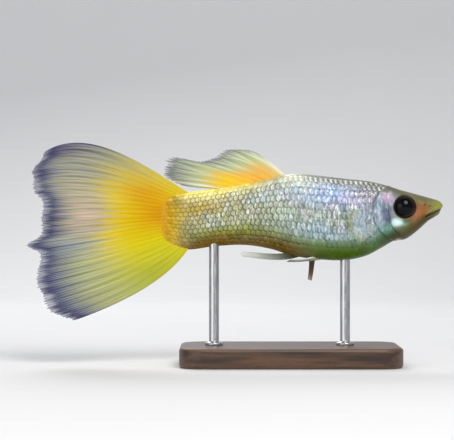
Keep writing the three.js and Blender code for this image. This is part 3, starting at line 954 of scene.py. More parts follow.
@dataclass(frozen=True)
class BodyColours:
    """The markings of the body, placed by x and by the share of its height."""

    base: str = "9AA6A4"
    markings: tuple[Row, ...] = (
        ("silver rear flank", -5.0, 0.50, 4.6, 0.30, "9CA068", 0.95),
        ("mint middle", 0.4, 0.52, 3.2, 0.26, "A0B284", 0.9),
        ("pale blue lower flank", 3.2, 0.33, 4.0, 0.13, "86AABF", 0.9),
        ("lavender shoulder", 3.6, 0.77, 3.6, 0.16, "7E8ECC", 0.97),
        ("blue glimpse", 4.2, 0.83, 1.0, 0.06, "7FB8E0", 0.7),
        ("rosy shoulder end", 6.6, 0.72, 0.9, 0.12, "C3B2DA", 0.7),
        ("smoky nape side", 7.7, 0.84, 1.7, 0.09, "6A606C", 0.85),
        ("grey-green middle", 5.0, 0.5, 2.6, 0.14, "768A72", 0.9),
        ("shoulder pearl", 7.4, 0.42, 1.2, 0.18, "8EA5CC", 0.85),
        ("breast glimmer", 6.7, 0.33, 0.9, 0.06, "BFE4EE", 0.8),
        ("olive lower flank", -6.0, 0.24, 5.8, 0.14, "8A9430", 0.95, 1.3),
        ("green lower flank", 3.4, 0.16, 4.6, 0.1, "6C8C48", 0.85),
        # Partly painted shade: the belly's own olive is darkened further, as the underside lies in shade.
        ("olive belly with painted underside shade", 6.2, 0.0, 6.2, 0.22, "4A6A00", 1.0, 2.0),
        ("brown hind belly", -1.4, 0.02, 3.6, 0.19, "725600", 0.97, 1.7),
        ("amber under the stalk", -7.6, 0.03, 4.6, 0.2, "7A5C00", 1.0, 1.7),
        ("gold upper stalk", -8.8, 0.66, 3.4, 0.24, "BAA000", 0.95),
        ("silver stalk middle", -7.6, 0.42, 3.0, 0.12, "A4A85A", 0.8),
        ("cream saddle", -7.4, 1.0, 5.6, 0.18, "FFF080", 1.0, 1.6),
        ("golden root", -12.6, 0.5, 2.1, 0.95, "C6A400", 1.0, 1.6),
        ("orange root end", -12.7, 0.55, 0.8, 0.6, "CC9000", 0.85),
        ("grey back", 4.8, 1.0, 5.8, 0.07, "7E8278", 1.0, 1.5),
        # Painted highlights: the next two bands brighten the upper flank and the row of glints below the
        # back.
        ("painted highlight on the upper flank", 0.6, 0.84, 2.4, 0.1, "C4D8D4", 0.7),
        ("painted glint band on the back", -0.2, 0.94, 2.0, 0.08, "E2E6C2", 0.85),
        ("olive crown", 10.9, 1.0, 3.4, 0.18, "66644C", 1.0, 1.5),
        ("olive head", 13.0, 0.5, 2.3, 1.0, "6E6A42", 0.95, 2.2),
        ("pearl gill cover", 8.9, 0.6, 1.1, 0.24, "52667A", 0.94),
        ("pale gill streak", 8.7, 0.56, 0.3, 0.2, "A6BCD2", 0.8),
        ("violet ear spot", 9.6, 0.78, 0.55, 0.07, "CFA2CE", 0.85),
        ("slate crescent", 9.6, 0.46, 0.42, 0.17, "3C4870", 0.92),
        ("gill cover hem", 8.3, 0.3, 0.6, 0.12, "8DB8A6", 0.7),
        ("green gill foot", 9.5, 0.15, 1.5, 0.12, "3E5E2C", 0.9),
        ("green hem under the cheek", 9.7, 0.27, 0.7, 0.08, "3F9A72", 0.75),
        # Partly painted shade: the throat's own olive is darkened further, as the underside lies in shade.
        ("dark olive throat with painted underside shade", 10.6, 0.02, 1.5, 0.19, "303800", 1.0, 1.6),
        ("olive cheek", 12.0, 0.28, 1.1, 0.13, "6F6730", 0.95),
        ("green cheek hem", 11.35, 0.31, 0.5, 0.05, "7FB79A", 0.8),
        # Partly painted shade: the jaw's own brown is darkened further, as the underside lies in shade.
        ("brown jaw with painted underside shade", 13.0, 0.1, 1.9, 0.36, "463E04", 1.0, 1.6),
        ("orange snout side", 13.0, 0.56, 0.95, 0.22, "9A5E26", 0.9, 1.3),
        ("rosy ring under the eye", 12.35, 0.47, 0.4, 0.16, "B07050", 0.7),
        ("bright cheek", 10.55, 0.355, 0.6, 0.08, "E0F8F4", 1.0, 2.0),
        ("dusky snout top", 13.7, 0.97, 1.3, 0.16, "6E6A48", 0.95, 1.4),
        ("yellow lips", 15.1, 0.6, 1.0, 0.5, "92943A", 1.0, 1.6),
        ("white throat spot", 10.75, 0.0, 0.3, 0.03, "D8CBB6", 0.9),
    )

    def colour(self, x: Array, h: Array) -> Array:
        """The skin's linear colour at a place along the body and a share of its height."""
        return lay_markings(self.base, self.markings, x, h)

    @staticmethod
    def pearl(x: Array, h: Array) -> Array:
        """How pearly the skin is: most on the flank and gill cover, none on the belly, crown and snout.

        Args:
            x: Places along the body.
            h: Shares of its height.

        Returns:
            Pearl from 0 to 1.
        """
        low = mix(0.25, 0.16, smooth((x + 2.0) / 5.0))
        side = smooth((h - low) / 0.16) * smooth((0.97 - h) / 0.08)
        gold = 1.0 - 0.6 * bump((x + 9.2) / 2.6) * bump((h - 0.72) / 0.16)
        cover = 1.0 - 0.5 * smooth((x - 8.0) / 0.6)
        return 0.8 * side * gold * cover * smooth((11.0 - x) / 1.4) * smooth((x + 11.4) / 3.4)

    @staticmethod
    def speckle(x: Array, h: Array) -> Array:
        """How thickly small dark spots lie: on the crown, nape and back, and lightly behind."""
        top = smooth((h - 0.84) / 0.12) * smooth((x - 0.5) / 2.0)
        return np.clip(0.85 * top + 0.35 * smooth((h - 0.6) / 0.3) * smooth((x - 11.5) / 1.5), 0, 1)


@dataclass
class Skin:
    """The one skin over the head, trunk and tail stalk."""

    form: BodyForm
    arcs: ArcMap
    colours: BodyColours
    round_points: int = 236
    head_from: float = 8.0
    snout_from: float = 14.6
    rings: tuple[int, int, int] = (130, 150, 34)

    def places(self) -> Array:
        """Places along the body, closest together on the head and closest of all at the snout.

        Returns:
            The places, from the tail to the snout.
        """
        trunk, head, snout = self.rings
        reach = self.form.snout[0] - 2e-3 - self.snout_from
        return np.concatenate([
            np.linspace(self.form.stations[0][0], self.head_from, trunk, endpoint=False),
            np.linspace(self.head_from, self.snout_from, head, endpoint=False),
            self.snout_from + reach * np.sin(np.linspace(0.0, QUARTER, snout)),
        ])

    def build(self, material: Material) -> bpy.types.Object:
        """Builds the skin: the bare form moved out along its own normals by the head's relief.

        Args:
            material: The skin's finish.

        Returns:
            The settled piece.
        """
        x = self.places()[:, None]
        share = (np.arange(self.round_points) / self.round_points)[None, :]
        point, out = self.arcs.surface(x, share)
        side = np.abs(out[..., 1])
        head = HeadForms(self.form, point[..., 0], point[..., 2])
        lift = head.relief() * smooth((side - 0.05) / 0.3) + head.lips()
        crease_shade = head.crease_shade(side)
        point = point + out * lift[..., None]
        along, h = point[..., 0], self.form.height_share(point[..., 0], point[..., 2])
        mesh = MeshData.tube(
            point,
            np.stack([point[0].mean(0), point[-1].mean(0)]),
            # Painted shade: the tint darkens towards 1E1B12 in the head's folds, and the pearl fades there.
            tint=mix(self.colours.colour(along, h), linear("1E1B12"), 0.85 * crease_shade[..., None]),
            pearl=self.colours.pearl(along, h) * (1.0 - crease_shade),
            speckle=self.colours.speckle(along, h),
        )
        return settle(mesh.to_object("skin", material), "flank_skin", "head", "torso", "tail_stalk")


@dataclass
class Scales:
    """Rows of overlapping plates over the skin behind the gill cover."""

    form: BodyForm
    arcs: ArcMap
    colours: BodyColours
    rows: int = 14
    columns: int = 50
    first: float = -12.1
    pitch: float = 0.5
    length: float = 0.8
    overlap: float = 1.32
    lift: float = 0.034
    thick: float = 0.028
    points: tuple[int, int] = (7, 4)
    nape_height: float = 0.88
    nape_end: float = 9.9
    side_end: float = 9.0
    gill_gap: float = 0.28
    ridge: Pair = (1.4, 9.8)
    farthest: float = 11.4
    skin_gap: float = 0.004
    droop: float = 0.012
    size_spread: float = 0.07
    place_spread: float = 0.02
    rise_spread: float = 0.35
    tone_spread: float = 0.11
    seed: int = 7

    @property
    def spacing(self) -> float:
        """How much of the way round the body lies between two rows."""
        return 0.5 / (self.rows + 0.1)

    def roots(self) -> tuple[Array, Array]:
        """The middle of every plate, staggered from row to row.

        Returns:
            Places along the body and shares of the way round, for the left side's rows and their mirror
            images, and for one row along the back ahead of the dorsal fin.
        """
        row = np.arange(self.rows)[:, None]
        x = self.first + self.pitch * (np.arange(self.columns) + 0.5 * (row % 2))
        share = np.broadcast_to(0.5 - (row + 0.6) * self.spacing, x.shape)
        x, share = x.ravel(), share.ravel()
        point, _ = self.arcs.surface(x, share)
        high = self.form.height_share(point[:, 0], point[:, 2]) > self.nape_height
        clear = self.form.gill_reach(point[:, 0], point[:, 2]) < -self.gill_gap
        keep = (x < np.where(high, self.nape_end, self.side_end)) & (high | clear)
        x, share = x[keep], share[keep]
        ridge = np.arange(*self.ridge, self.pitch)
        return np.concatenate([x, x, ridge]), np.concatenate([share, 1.0 - share, np.full(len(ridge), 0.5)])

    def numbers(self, x: Array, h: Array, rng: np.random.Generator) -> dict[str, Array]:
        """How each plate shines and how dark its edge is.

        Args:
            x: The plates' places along the body.
            h: Their shares of its height.
            rng: The draw.

        Returns:
            Pearl, glint (the bright crescent of painted highlight), net (the dark free edge) and speckle (the
            dark spots).
        """
        pearl = self.colours.pearl(x, h)
        # Painted highlight: the row of scales just below the back gets the brightest glints.
        painted_glint_row = smooth((h - 0.905) / 0.02) * smooth((0.985 - h) / 0.02) * smooth((x + 1.5) / 1.5)
        stalk = mix(0.85, 0.06, smooth((x + 3.5) / 6.0)) * mix(0.12, 1.0, smooth((x + 12.0) / 2.6))
        net = stalk * smooth((0.97 - h) / 0.1) * smooth((h - 0.08) / 0.15)
        return {
            "pearl": pearl * rng.uniform(0.7, 1.15, len(x)),
            "glint": np.clip(0.28 * pearl + 0.85 * painted_glint_row, 0, 1) * rng.uniform(0.6, 1.1, len(x)),
            "net": net + 0.4 * smooth((h - 0.9) / 0.05) * smooth(x / 2),
            "speckle": 0.75 * smooth((h - 0.3) / 0.3) * smooth((x + 3.0) / 5.0) * smooth(9.2 - x),
        }

    def build(self, material: Material) -> bpy.types.Object:
        """Builds every plate at once, as a rounded grid that rises towards its free rear edge.

        On a plate, a runs from -1 at its root to 1 at its free edge, and b runs across it. The half width
        goes with the square root of one less the power 3.2 of a's size, and the rise with the power 1.1
        of the way from the root.

        Args:
            material: The plates' finish.

        Returns:
            The settled piece.
        """
        rng = np.random.default_rng(self.seed)
        x0, s0 = self.roots()
        count, (long, wide) = len(x0), self.points
        each = 2 * long * wide
        a = np.sin(np.linspace(-QUARTER, QUARTER, long))[None, :, None]
        b = np.linspace(-1.0, 1.0, wide)[None, None, :]
        bow = np.sqrt(np.clip(1.0 - np.abs(a) ** 3.2, 0.0, 1.0)) * 0.97 + 0.03
        size = 1.0 + self.size_spread * rng.standard_normal(count)[:, None, None]
        small = mix(0.86, 1.0, smooth((x0 + 12.0) / 3.0))[:, None, None]
        x = x0[:, None, None] - a * 0.5 * self.length * size * small
        x = x + self.place_spread * rng.standard_normal(count)[:, None, None]
        share = s0[:, None, None] + b * bow * 0.5 * (self.spacing * self.overlap) * size
        x, share = np.broadcast_arrays(x, share)
        x = np.clip(x, self.form.stations[0][0] + 0.02, self.farthest)
        point, out = self.arcs.surface(x, np.mod(share, 1.0))
        h = self.form.height_share(x0, self.arcs.surface(x0, s0)[0][:, 2])
        flat_front = mix(1.0, 0.3, smooth((x0 + 2.0) / 4.5))
        flat_root = mix(0.35, 1.0, smooth((x0 + 12.2) / 1.8))
        flat_belly = mix(0.35, 1.0, smooth((h - 0.1) / 0.15))
        rise = self.lift * small * (flat_front * flat_root * flat_belly)[:, None, None]
        rise = rise * ((a + 1.0) / 2.0) ** 1.1 * (1.0 + self.rise_spread * rng.random(count)[:, None, None])
        top = point + out * (self.skin_gap + rise - self.droop * b**2)[..., None]
        under = top - out * (self.thick * (0.4 + 0.6 * (1 - np.abs(a))))[..., None]
        tone = 1.0 + self.tone_spread * rng.standard_normal((count, 1, 1, 1))
        tint = np.clip(self.colours.colour(x, self.form.height_share(x, point[..., 2])) * tone, 0, 1)
        numbers = self.numbers(x0, h, rng)
        plate = stack((a[0] + 1) / 2, (b[0] + 1) / 2).reshape(1, 1, long * wide, 2)
        plate = np.broadcast_to(plate, (count, 2, long * wide, 2)).reshape(-1, 2)
        whole = self.form.snout[0] - self.form.stations[0][0]
        root = stack((x0 - self.form.stations[0][0]) / whole, s0)
        data = MeshData(
            points=np.stack([top, under], 1).reshape(-1, 3),
            quads=(blade_faces(long, wide)[None] + (np.arange(count) * each)[:, None, None]).reshape(-1, 4),
            tint=np.stack([tint, tint], 1).reshape(-1, 3),
            numbers={key: np.repeat(values, each) for key, values in numbers.items()},
            maps={"OFBake": np.repeat(root, each, 0) * 0.99 + 0.005 + (plate - 0.5) * 0.003, "Plate": plate},
        )
        return settle(data.flipped_out().to_object("scales", material), "flank_skin")


@dataclass
class Eye:
    """One eyeball, dark to its rim, set in its socket."""

    form: BodyForm
    side: Side
    rings: int = 56
    spokes: int = 64

    def build(self, material: Material) -> bpy.types.Object:
        """Builds the eyeball: an ellipsoid of turns about the line across the head, coloured in rings.

        Args:
            material: The eye's finish.

        Returns:
            The settled piece.
        """
        polar = np.linspace(0.0, math.pi, self.rings)[1:-1, None]
        turn = (np.arange(self.spokes) / self.spokes * TAU)[None, :]
        radial, depth = np.broadcast_to(np.sin(polar), (len(polar), self.spokes)), np.cos(polar)
        lens = 0.05 * bump(radial / 0.55) * (depth > 0)
        r, side = self.form.eye_radius, self.side.value
        ex, ey, ez = self.form.eye
        point = stack(
            ex + r * radial * np.cos(turn),
            side * (ey + self.form.eye_depth * (depth + lens)),
            ez + r * radial * np.sin(turn),
        )
        poles = [[ex, side * (ey + self.form.eye_depth * reach), ez] for reach in (1.05, -1.0)]
        rim = smooth((radial - 0.78) / 0.05)[..., None]
        outer = smooth((radial - 0.88) / 0.08)[..., None]
        tint = mix(mix(linear("020306"), linear("3A2015"), rim * 0.9), linear("120B08"), outer)
        name = f"eye_{self.side.name.lower()}"
        piece = MeshData.tube(point, np.array(poles), tint=tint).to_object(f"{name}_ball", material)
        return settle(piece, "eye", name)


# Fins


def along_ray(root: Array, margin: Array, near: Array, far: Array, v: Array) -> Array:
    """A cubic from root to margin whose two middle points are the thirds of the way, each pushed.

    Args:
        root: Where each ray starts.
        margin: Where it ends.
        near: The push at the first third.
        far: The push at the second third.
        v: The share of the way, from 0 at the root.

    Returns:
        The points.
    """
    v = v[..., None]
    w = 1.0 - v
    first, second = mix(root, margin, 1 / 3) + near, mix(root, margin, 2 / 3) + far
    return w**3 * root + 3 * w * w * v * first + 3 * w * v * v * second + v**3 * margin


@dataclass(frozen=True)
class RayPlan:
    """How a fin's rays branch and how ragged its margin is."""

    rays: int
    columns_each: int
    rows: int
    root_thick: float
    edge_thick: float
    ridge: float
    forks: Pair = (0.3, 0.62)
    ragged: float = 0.02
    deep: float = 0.0
    seed: int = 3

    def centres(self, v: Array) -> list[Array]:
        """The branches' places across one ray's own strip, from -0.5 to 0.5.

        Args:
            v: The share of the way from the root.

        Returns:
            Four arrays: the ray parts in two past the first fork and in four past the second.
        """
        first = 0.25 * smooth((v - self.forks[0]) / (1.0 - self.forks[0])) ** 0.8
        second = 0.125 * smooth((v - self.forks[1]) / (1.0 - self.forks[1])) ** 0.8
        return [a * first + b * second for a in (-1, 1) for b in (-1, 1)]

    def ray_share(self, u: Array, v: Array) -> Array:
        """How much of a place is ray: 1 on a branch's middle, falling as a bell, and 0 between.

        Args:
            u: Across the fin from 0 to 1.
            v: Along it from 0 to 1.

        Returns:
            The share.
        """
        strip = np.mod(u * self.rays, 1.0) - 0.5
        width = mix(0.24, 0.06, smooth(v / 0.9))
        return np.max(np.stack([bump((strip - c) / width) for c in self.centres(v)]), 0)

    def reach(self, u: Array) -> Array:
        """How far each place across the margin gets: short of full between tips, by a seeded draw at tips.

        Args:
            u: Across the fin from 0 to 1.

        Returns:
            The reach, near 1.
        """
        rng = np.random.default_rng(self.seed)
        tips = self.rays * 4
        place, waves = u * tips, tips // 6 + 3
        draw = rng.uniform(-1.0, 1.0, tips + 2)
        slow = np.interp(place / 6.0, np.arange(waves), rng.uniform(-1.0, 1.0, waves))
        own = draw[np.clip(place.astype(int), 0, tips)]
        comb = 1.0 - np.abs(2.0 * np.mod(place, 1.0) - 1.0) ** 1.5
        return 1.0 - self.ragged * (1.0 - comb) + 0.6 * self.ragged * own * comb + self.deep * slow


@dataclass
class Fin:
    """A fin as a blade on a grid of u across its rays and v from root to margin."""

    name: str
    node: str
    slot: str
    plan: RayPlan
    place: Callable[[Array, Array], Array]
    base: str
    markings: tuple[Row, ...]
    see: Triple
    ray_colour: str = "E8E4D0"
    ray_tone: float = 0.25
    streak_reach: float = 0.06
    ray_body: float = 0.6

    def grid(self) -> tuple[Array, Array, Array]:
        """The blade's u and v, and v drawn in or out to the ragged margin.

        Returns:
            The three arrays, each with a row for every u.
        """
        columns = self.plan.rays * self.plan.columns_each
        u = np.linspace(0.0, 1.0, columns + 1)[:, None]
        v = (np.linspace(0.0, 1.0, self.plan.rows) ** 0.92)[None, :]
        drawn = v * mix(1.0, self.plan.reach(u), smooth((v - 0.3) / 0.7))
        u, v = np.broadcast_arrays(u, v)
        return u, v, drawn

    def build(self, material: Material) -> bpy.types.Object:
        """Builds the blade: its middle surface moved both ways by half a thickness that swells on rays.

        Args:
            material: The fin's finish.

        Returns:
            The settled piece.
        """
        u, v, drawn = self.grid()
        middle = self.place(u, drawn)
        step = 1e-3
        across = self.place(np.minimum(u + step, 1), drawn) - self.place(np.maximum(u - step, 0), drawn)
        along = self.place(u, drawn + step) - self.place(u, drawn - step)
        out = np.cross(across, along)
        out /= np.maximum(np.linalg.norm(out, axis=-1, keepdims=True), 1e-12)
        ray = self.plan.ray_share(u, v)
        membrane = mix(self.plan.root_thick, self.plan.edge_thick, smooth(v / 0.45) ** 0.6)
        thick = membrane + self.plan.ridge * ray * mix(1.0, 0.35, v)
        faces = [middle + out * (sign * thick / 2)[..., None] for sign in (1.0, -1.0)]
        tint, body = self.dress(u, v, ray)
        lie = stack(u, v).reshape(-1, 2)
        data = MeshData(
            points=np.concatenate([face.reshape(-1, 3) for face in faces]),
            quads=blade_faces(*u.shape),
            tint=np.concatenate([tint.reshape(-1, 3)] * 2),
            numbers={"body": np.concatenate([body.ravel()] * 2)},
            maps={"Lie": np.concatenate([lie, lie])},
        )
        return settle(data.flipped_out().to_object(self.name, material), self.slot, self.node)

    def dress(self, u: Array, v: Array, ray: Array) -> tuple[Array, Array]:
        """Colours the blade and says how solid it is.

        The markings' edges are pushed along each ray by a seeded draw, so that they look brushed on.

        Args:
            u: Across the fin.
            v: Along it.
            ray: The share of each place that is ray.

        Returns:
            Linear colours, and body from 0 for clear to 1 for solid.
        """
        rng = np.random.default_rng(self.plan.seed + 50)
        tips = self.plan.rays * 4
        push = np.interp(u * tips, np.arange(tips + 1), rng.uniform(-1, 1, tips + 1)) * self.streak_reach
        tint = lay_markings(self.base, self.markings, u, v + push * smooth(v / 0.3))
        pale = self.ray_tone * ray * smooth((v - 0.3) / 0.45) * mix(1.0, 0.35, smooth((v - 0.84) / 0.1))
        tint = mix(tint, linear(self.ray_colour), pale[..., None])
        start, middle, end = self.see
        membrane = mix(mix(start, middle, smooth(v / 0.55)), end, smooth((v - 0.5) / 0.45))
        solid = membrane + (1 - membrane) * self.ray_body * ray
        wisp = np.interp(u * tips * 1.7, np.arange(2 * tips + 1), rng.uniform(-0.03, 0.03, 2 * tips + 1))
        return tint, np.clip(solid * (1.0 - 0.6 * smooth((v + wisp - 0.92) / 0.08)), 0, 1)


@dataclass(frozen=True)
class FinPlaces:
    """Where each fin's rays run, as functions of u across the fin and v from root to margin."""

    tail_arc: Triple = (-7.97, 14.7, 3.85)
    tail_root_in: float = 0.55
    tail_turn: Pair = (2.28, TAU - 2.2)
    tail_margin: tuple[Triple, ...] = (
        (0, -24.6, 21.35),
        (0.13, -25.7, 19.4),
        (0.27, -25.6, 17.2),
        (0.32, -24.95, 16.3),
        (0.45, -24.95, 14.4),
        (0.53, -24.8, 13.0),
        (0.58, -26.2, 12.0),
        (0.64, -25.1, 11.1),
        (0.8, -25.1, 8.3),
        (0.92, -23.9, 5.5),
        (1, -21.6, 4.45),
    )
    dorsal_root: tuple[Triple, ...] = ((0, 0.0, 18.6), (0.5, -2.6, 17.9), (1, -5.2, 17.2))
    dorsal_margin: tuple[Triple, ...] = (
        (0, -4.4, 21.5),
        (0.14, -6.4, 21.5),
        (0.28, -7.8, 20.7),
        (0.43, -9.4, 20.35),
        (0.58, -11.75, 20.75),
        (0.72, -12.55, 19.7),
        (0.86, -12.6, 18.85),
        (1, -10.9, 17.95),
    )
    pectoral_root: Triple = (8.35, 2.0, 14.35)
    pectoral_length: float = 3.15
    pectoral_spread: Pair = (36.0, -44.0)

    @staticmethod
    def edge(points: tuple[Triple, ...], u: Array) -> Array:
        """A smooth edge through named places, as x and z at u.

        Args:
            points: The named places, each as u, x and z.
            u: Across the fin from 0 to 1.

        Returns:
            Points with a last axis of x and z.
        """
        x = SmoothCurve(tuple((p[0], p[1]) for p in points))(u)
        z = SmoothCurve(tuple((p[0], p[2]) for p in points))(u)
        return stack(x, z)

    @staticmethod
    def sheet(flat: Array, y: Array) -> Array:
        """Points from x and z in a plane and a y."""
        return stack(flat[..., 0], y, flat[..., 1])

    def caudal(self, u: Array, v: Array) -> Array:
        """The tail fan: rays start on the stalk's round end, bow out above and below, and fold gently.

        Args:
            u: Across the fin from 0 to 1.
            v: Along it from 0 at the root to 1 at the margin.

        Returns:
            The points.
        """
        turn = mix(*self.tail_turn, u)
        cx, cz, radius = self.tail_arc
        inner = radius - self.tail_root_in
        root = stack(cx + inner * np.cos(turn), cz + inner * np.sin(turn))
        upper, lower = np.clip(1 - 2 * u, 0, 1) ** 1.4, np.clip(2 * u - 1, 0, 1) ** 1.4
        near = stack(1.8 * lower, 1.7 * upper - 1.15 * lower)
        far = stack(-0.5 * upper + 0.3 * lower, 4.0 * upper - 1.05 * lower)
        flat = along_ray(root, self.edge(self.tail_margin, u), near, far, v)
        fold = 0.62 * v * v * np.sin(TAU * (1.9 * u + 0.12)) - 0.5 * v * v * (u - 0.4)
        ripple = 0.12 * v**3 * np.sin(TAU * (7.3 * u + 0.6 * v))
        return self.sheet(flat, fold + ripple)

    def dorsal(self, u: Array, v: Array) -> Array:
        """The back fin: rays sweep back from the top of the back over the stalk.

        Args:
            u: Across the fin from 0 to 1.
            v: Along it from 0 at the root to 1 at the margin.

        Returns:
            The points.
        """
        front = (1 - u) ** 2
        near = stack(-0.15 * front, 0.35 * front + 0.15)
        far = stack(-0.3 * front, 0.75 * front + 0.3 * (1 - u))
        flat = along_ray(self.edge(self.dorsal_root, u), self.edge(self.dorsal_margin, u), near, far, v)
        y = 0.35 * v * v * np.sin(TAU * (1.1 * u + 0.1)) + 0.3 * v * v
        return self.sheet(flat, y + 0.05 * v**2 * np.sin(TAU * 4.2 * u))

    def pectoral(self, side: Side) -> Callable[[Array, Array], Array]:
        """A breast fin: a rounded fan that stands out behind the gill cover, on either side.

        Args:
            side: The side that it is on.

        Returns:
            The function that gives the points at u and v.
        """
        sign = side.value
        origin = np.array(self.pectoral_root) * (1, sign, 1)
        back = np.array([-0.88, sign * 0.46, -0.12])
        back /= np.linalg.norm(back)
        up = np.array([0.02, -sign * 0.18, 1.0])
        up -= back * (up @ back)
        up /= np.linalg.norm(up)
        out = np.cross(back, up)

        def place(u: Array, v: Array) -> Array:
            """Points of the fan, by its spread angle and reach, cupped a little.

            Args:
                u: Across the fin from 0 to 1.
                v: Along it from 0 at the root to 1 at the margin.

            Returns:
                The points.
            """
            spread = np.radians(mix(*self.pectoral_spread, u))
            reach = self.pectoral_length * (1 - 0.16 * (2 * u - 1) ** 2)
            root = stack(0.0, mix(0.5, -0.5, u))
            tip = stack(reach * np.cos(spread), reach * np.sin(spread))
            bow = 1 - 2 * u
            near, far = stack(0.0, 0.1 * bow), stack(0.0, 0.22 * bow)
            flat = along_ray(root, tip, near, far, v)
            return origin + flat[..., :1] * back + flat[..., 1:] * up + (0.18 * v * v)[..., None] * out

        return place

    @staticmethod
    def pelvic_right(u: Array, v: Array) -> Array:
        """The right pelvic fin, laid back flat under the belly.

        Args:
            u: Across the fin from 0 to 1.
            v: Along it from 0 at the root to 1 at the margin.

        Returns:
            The points.
        """
        root = stack(3.0 - 0.7 * u, -0.35 - 0.5 * u)
        tip = stack(0.0 - 0.35 * (1 - u), -0.55 - 1.0 * u)
        near, far = stack(0.0, -0.08), stack(0.0, -0.12 * u)
        flat = along_ray(root, tip, near, far, v)
        z = 10.62 - 0.28 * v + 0.22 * u - 0.1 * np.sin(math.pi * v)
        return stack(flat[..., 0], flat[..., 1], z)

    def pelvic_left(self, u: Array, v: Array) -> Array:
        """The left pelvic fin, lowered and seen edge on.

        Args:
            u: Across the fin from 0 to 1.
            v: Along it from 0 at the root to 1 at the margin.

        Returns:
            The points.
        """
        root = stack(2.55 - 0.55 * u, 10.95)
        tip = stack(2.2 - 0.35 * u, 8.42 + 0.15 * u)
        near, far = stack(0.03, 0.0), stack(0.05, 0.0)
        return self.sheet(along_ray(root, tip, near, far, v), 0.7 + 0.35 * u + 0.25 * v * v)

    def gonopodium(self, u: Array, v: Array) -> Array:
        """The male's narrow anal fin, trailing under the belly.

        Args:
            u: Across the fin from 0 to 1.
            v: Along it from 0 at the root to 1 at the margin.

        Returns:
            The points.
        """
        root = self.edge(((0, 1.35, 11.0), (0.5, 0.6, 11.0), (1, -0.3, 11.2)), u)
        tip = self.edge(((0, -4.75, 10.82), (0.5, -4.95, 11.08), (1, -4.85, 11.36)), u)
        sag = 0.55 * (1 - u)
        near, far = stack(0.1, -sag - 0.25), stack(0.0, -0.25 * (1 - u))
        return self.sheet(along_ray(root, tip, near, far, v), -0.12 * np.sin(math.pi * v))


